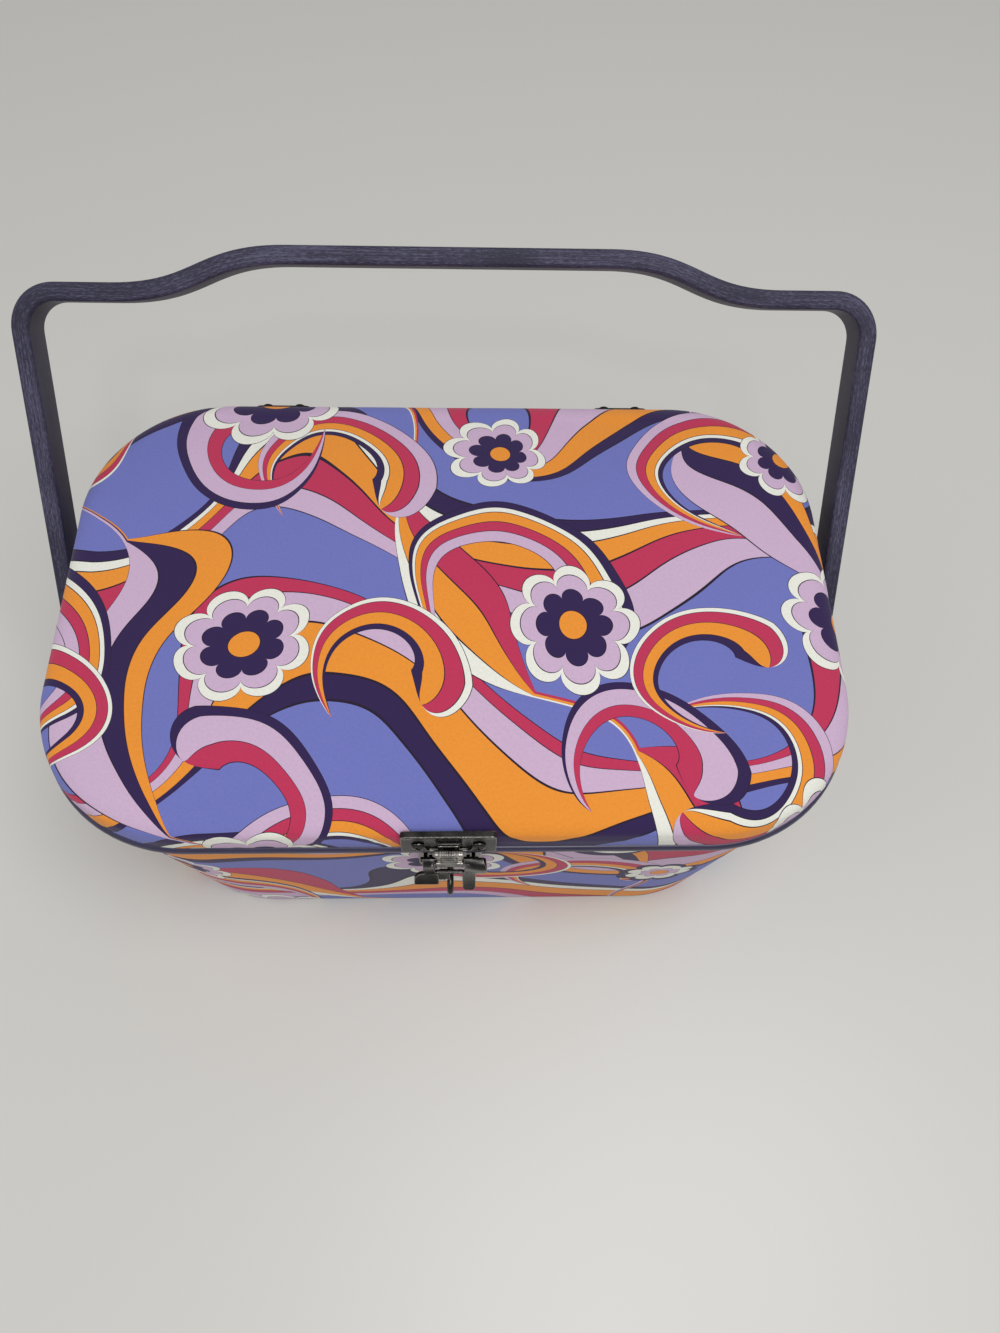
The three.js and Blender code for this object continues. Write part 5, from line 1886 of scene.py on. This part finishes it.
padLook = {
    "finer": 0.6,
    "footInset": 0.0008,
    "edgeRound": 0.0024,
    "tuftX": 0.058,
    "tuftY": 0.05,
    "tuftWidth": 0.011,
    "tuftPull": 0.0016,
    "crown": 0.0004,
    "wave": 0.00025,
    "waveSize": 0.012,
    "steps": 33,
}


def makeFloorPad():
    look = padLook
    low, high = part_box("floor_pad")
    plan = boxPlan(low.z, roomInset + basket["seatGap"])

    def ringAt(inset):
        return planRing(insetPlan(plan, inset), look["finer"])
    rings = [[Vector((point.x * 0.02, point.y * 0.02, low.z)) for point, _ in planRing(plan, look["finer"])],
             liftRing(ringAt(look["footInset"]), low.z)]
    for angle in quarterTurn(6):
        rings.append(liftRing(ringAt(look["edgeRound"] * (1 - math.cos(angle))),
                              low.z + 0.0003 + (high.z - low.z - 0.0008) * math.sin(angle)))
    edge = [point for point, _ in ringAt(look["edgeRound"])]
    tufts = [(x * look["tuftX"], y * look["tuftY"]) for x in (-1.5, -0.5, 0.5, 1.5) for y in (-0.5, 0.5)]
    for i in range(1, look["steps"] + 1):
        share = 1 - i / (look["steps"] + 0.5)
        ring = []
        for point in edge:
            spot = point * share
            pull = sum(math.exp(-((spot.x - x) ** 2 + (spot.y - y) ** 2) / look["tuftWidth"] ** 2)
                       for x, y in tufts)
            height = high.z - 0.0005 + look["crown"] * (1 - share ** 2) - look["tuftPull"] * min(pull, 1.0)
            height += look["wave"] * ripple((spot.x, spot.y, 0.0), look["waveSize"], 2.0)
            ring.append(Vector((spot.x, spot.y, height)))
        rings.append(ring)
    pad = loft("floorPad", rings, caps=("first", "last"))
    place(pad, "lining_satin", "base", stands=["floor_pad"])


def makeLidLining():
    # satin glued inside the lid: up the band, then across, with gathers at the round corners
    low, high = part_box("lid_lining")
    thick = basket["clothThickness"]
    outerInset = lidLook["sideLean"] + wallInset + basket["cardThickness"] + basket["seatGap"]
    rings = []

    def ring(inset, height, share=1.0, wave=0.0):
        plan = planRing(insetPlan(lidPlan, inset), 1.3)
        marks, total = alongRing(plan)
        return [Vector((*(point * share), height + wave * gathers(mark, total)))
                for (point, _), mark in zip(plan, marks)]
    soft = liningLook["lidSoft"]
    side = liningLook["lidSideRows"]
    for i in range(1, 20):
        rings.append(ring(outerInset + 0.0004, high.z, i / 19.6))
    rings.append(ring(outerInset, high.z))
    rings.append(ring(outerInset, low.z))
    inner = outerInset + thick
    for i in range(side + 1):
        rings.append(ring(inner, low.z + (high.z - thick - soft - low.z) * i / side))
    shoulder = high.z - thick - soft
    for angle in quarterTurn(7, 1):
        rings.append(ring(inner + soft * (1 - math.cos(angle)), shoulder + soft * math.sin(angle), 1.0,
                          liningLook["gather"] * math.sin(angle)))
    for i in range(1, 30):
        share = 1 - i / 29.6
        fade = max(1 - (1 - share) / liningLook["lidFade"], 0.0)
        rings.append(ring(inner + soft, high.z - thick, share, liningLook["gather"] * fade))
    lining = loft("lidLining", rings, caps=("first", "last"))
    place(lining, "lining_satin", "lid", stands=["lid_lining"])
    length, width, _ = insetPlan(lidPlan, outerInset)
    rise = high.z - low.z
    length + 2 * rise
    width + 2 * rise
    0.92 * (length + 2 * rise) * (width + 2 * rise)


cushionLook = {"finer": 0.7, "edge": 0.0012, "footInset": 0.001, "swell": 0.0005, "swellSize": 0.011,
               "steps": 29}


def makePincushion():
    look = cushionLook
    low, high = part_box("pincushion")
    drop = high.z - low.z
    width = high.y - low.y
    plan = (high.x - low.x, width, width / 2 - 0.0001)
    widest = planRing(plan, look["finer"])
    rings = [[Vector((point.x * 0.03, point.y * 0.03, high.z)) for point, _ in widest],
             liftRing(planRing(insetPlan(plan, look["footInset"]), look["finer"]), high.z)]
    for i in range(1, look["steps"] + 1):
        angle = math.pi / 2 * i / (look["steps"] + 0.5)
        share = math.cos(angle) ** 0.85
        height = high.z - look["edge"] - (drop - look["edge"]) * math.sin(angle) ** 1.2
        ring = []
        for point, _ in widest:
            spot = point * share
            swell = look["swell"] * ripple((spot.x, spot.y, height), look["swellSize"], 4.0)
            ring.append(Vector((spot.x, spot.y, max(height + swell, low.z))))
        rings.append(ring)
    cushion = loft("pincushion_pad", rings, caps=("first", "last"))
    place(cushion, pinVelvet, "lid", slot="lining_satin", stands=["pincushion"])


makeWallLining()
makeFloorPad()
makeLidLining()
makePincushion()
print("stage: linings made")

trayLook = {
    "wall": 0.0016,
    "floor": 0.0016,
    "cornerRadius": 0.042,
    "footRound": 0.0012,
    "columnShares": (0.36, 0.34, 0.3),
    "rows": (1, 2, 3),
    "cellRound": 0.004,
    "cellFoot": 0.0025,
    "lip": 0.00035,
}


def clipped(outline, plan):
    # the part of a convex outline that lies inside a rounded rectangle
    border = [point for point, _ in planRing(plan, 0.35)]
    kept = [Vector(point) for point in outline]
    for start, end in zip(border, border[1:] + border[:1]):
        way = end - start
        result = []
        for first, second in zip(kept, kept[1:] + kept[:1]):
            insideFirst = way.cross(first - start) >= -1e-9
            insideSecond = way.cross(second - start) >= -1e-9
            if insideFirst:
                result.append(first)
            if insideFirst != insideSecond:
                span = way.cross(first - start) / (way.cross(first - start) - way.cross(second - start))
                result.append(first.lerp(second, span))
        kept = result
    return kept


def softened(outline, radius, steps=6):
    # a convex outline with its sharp corners rounded
    result = []
    for i, point in enumerate(outline):
        before = outline[i - 1]
        after = outline[(i + 1) % len(outline)]
        into = (point - before).normalized()
        away = (after - point).normalized()
        turn = into.angle(away, 0.0)
        if turn < math.radians(30):
            result.append(point)
            continue
        back = min(radius * math.tan(turn / 2), (point - before).length * 0.45,
                   (after - point).length * 0.45)
        start = point - into * back
        end = point + away * back
        for k in range(steps + 1):
            t = k / steps
            result.append(start * (1 - t) ** 2 + point * 2 * t * (1 - t) + end * t * t)
    return result


def prismFrom(name, outline, levels):
    # a closed prism of one outline, drawn in at each level by its inset towards its middle
    middle = sum(outline, Vector((0, 0))) / len(outline)
    rings = []
    for inset, height in levels:
        ring = []
        for point in outline:
            out = point - middle
            ring.append(Vector((*(middle + out * (1 - inset / max(out.length, 1e-6))), height)))
        rings.append(ring)
    return loft(name, rings, caps=("first", "last"))


def makeTray():
    look = trayLook
    low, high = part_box("sewing_tray")
    length = high.x - low.x
    width = high.y - low.y
    plan = (length, width, look["cornerRadius"])
    soft = look["footRound"]
    levels = [(soft, low.z), (soft * 0.3, low.z + soft * 0.3), (0.0, low.z + soft), (0.0, high.z - 0.0004),
              (0.0003, high.z)]
    rings = [liftRing(planRing(insetPlan(plan, inset)), height) for inset, height in levels]
    tray = loft("sewingTray", rings, caps=("first", "last"))
    roomLength = length - look["wall"]
    roomWidth = width - look["wall"]
    floor, foot = low.z + look["floor"], look["cellFoot"]
    steps = [(foot * (1 - math.sin(angle)), floor + foot * (1 - math.cos(angle)))
             for angle in quarterTurn(5)]
    steps.append((0.0, high.z + 0.004))
    cells = []
    left = -roomLength / 2
    for share, rows in zip(look["columnShares"], look["rows"]):
        cellLength = roomLength * share
        cellWidth = roomWidth / rows
        for row in range(rows):
            x1 = left + look["wall"] / 2
            x2 = left + cellLength - look["wall"] / 2
            y1 = -roomWidth / 2 + row * cellWidth + look["wall"] / 2
            y2 = y1 + cellWidth - look["wall"]
            outline = clipped(rectangle((x1, y1), (x2, y2)), insetPlan(plan, look["wall"]))
            cells.append(prismFrom("cell", softened(outline, look["cellRound"]), steps))
        left += cellLength
    combine("DIFFERENCE", tray, gather("cells", cells))
    bevel = tray.modifiers.new("lip", "BEVEL")
    bevel.width = look["lip"]
    bevel.segments = 2
    bevel.limit_method = "ANGLE"
    bevel.angle_limit = math.radians(50)
    applyModifiers(tray)
    smoothShade(tray.data, 45)
    place(tray, "tray_plastic", "base", stands=["sewing_tray"])


makeTray()
print("stage: tray made")


# What is left of the frame keeps its shape and gets its finish

def dressNodes():
    slots = {row["node"]: row["material_slot"] for row in frame["record"]["subparts"]}
    for name, node in frame["nodes"].items():
        if not node.hide_render:
            node.data.materials.clear()
            node.data.materials.append(finishes[slots[name]])


dressNodes()


# Floor, light and camera

studio = {
    "floorSize": 6.0,
    "floor": paint(214, 213, 208),
    "haze": paint(200, 199, 195),
    "hazeSize": 0.35,
    "world": 0.395,
    "cameraPitch": 63.6,
    "cameraRoll": 3.67,
    "cameraYaw": 4.15,
    "cameraPlace": (0.00739, -0.19307, 0.46440),
    "focalPixels": 952.21,
    "pictureHeight": 1333,
    "sensor": 36.0,
}


def makeFloor():
    half = studio["floorSize"] / 2
    corners = [(x, y, 0) for x, y in rectangle((-half, -half), (half, half))]
    floor = newObject("floor", meshFrom("floor", corners, [(0, 1, 2, 3)]))
    finish = Finish("pale floor")
    haze = finish.noise(finish.place(), studio["hazeSize"], 3.0)
    finish.set("Base Color", finish.mix(haze * 0.12, studio["floor"], studio["haze"]))
    finish.set("Roughness", 0.34 + haze * 0.08)
    floor.data.materials.append(finish.material)


def makeLights():
    lamps = (
        ("softboxFront", (0.1, -0.75, 1.25), (0.16, 0.12), 1.8, (0, 0, 0.05)),
        ("softboxOverhead", (0.32, -0.3, 1.6), (0.9, 0.7), 11.6, (0.1, 0.15, 0.05)),
        ("softboxLeft", (-1.3, -0.4, 1.1), (0.9, 0.9), 2.4, (0, 0, 0.1)),
    )
    for name, spot, size, power, aim in lamps:
        lamp = bpy.data.lights.new(name, "AREA")
        lamp.shape = "RECTANGLE"
        lamp.size, lamp.size_y = size
        lamp.energy = power
        holder = bpy.data.objects.new(name, lamp)
        bpy.context.scene.collection.objects.link(holder)
        holder.location = spot
        holder.rotation_euler = (Vector(aim) - Vector(spot)).to_track_quat("-Z", "Y").to_euler()


def makeWorld():
    world = bpy.data.worlds.new("studio")
    bpy.context.scene.world = world
    world.use_nodes = True
    graph = Graph(world.node_tree)
    back = graph.node("ShaderNodeBackground", values={"Color": grey(1.0), "Strength": studio["world"]})
    graph.node("ShaderNodeOutputWorld", values={"Surface": back.outputs[0]})


def makeCamera():
    pitch, roll, yaw = (math.radians(studio[key]) for key in ("cameraPitch", "cameraRoll", "cameraYaw"))
    forward = Vector((math.sin(yaw) * math.cos(pitch), math.cos(yaw) * math.cos(pitch), -math.sin(pitch)))
    right = Vector((math.cos(yaw), -math.sin(yaw), 0))
    up = right.cross(forward)
    right, up = right * math.cos(roll) + up * math.sin(roll), up * math.cos(roll) - right * math.sin(roll)
    lens = bpy.data.cameras.new("camera")
    lens.sensor_width = studio["sensor"]
    lens.lens = studio["focalPixels"] / studio["pictureHeight"] * studio["sensor"]
    lens.clip_start = 0.01
    camera = bpy.data.objects.new("camera", lens)
    bpy.context.scene.collection.objects.link(camera)
    camera.matrix_world = Matrix((
        (right.x, up.x, -forward.x, studio["cameraPlace"][0]),
        (right.y, up.y, -forward.y, studio["cameraPlace"][1]),
        (right.z, up.z, -forward.z, studio["cameraPlace"][2]),
        (0, 0, 0, 1),
    ))
    bpy.context.scene.camera = camera


makeFloor()
makeLights()
makeWorld()
makeCamera()
bpy.context.scene.view_settings.view_transform = "Standard"
print("stage: studio made")
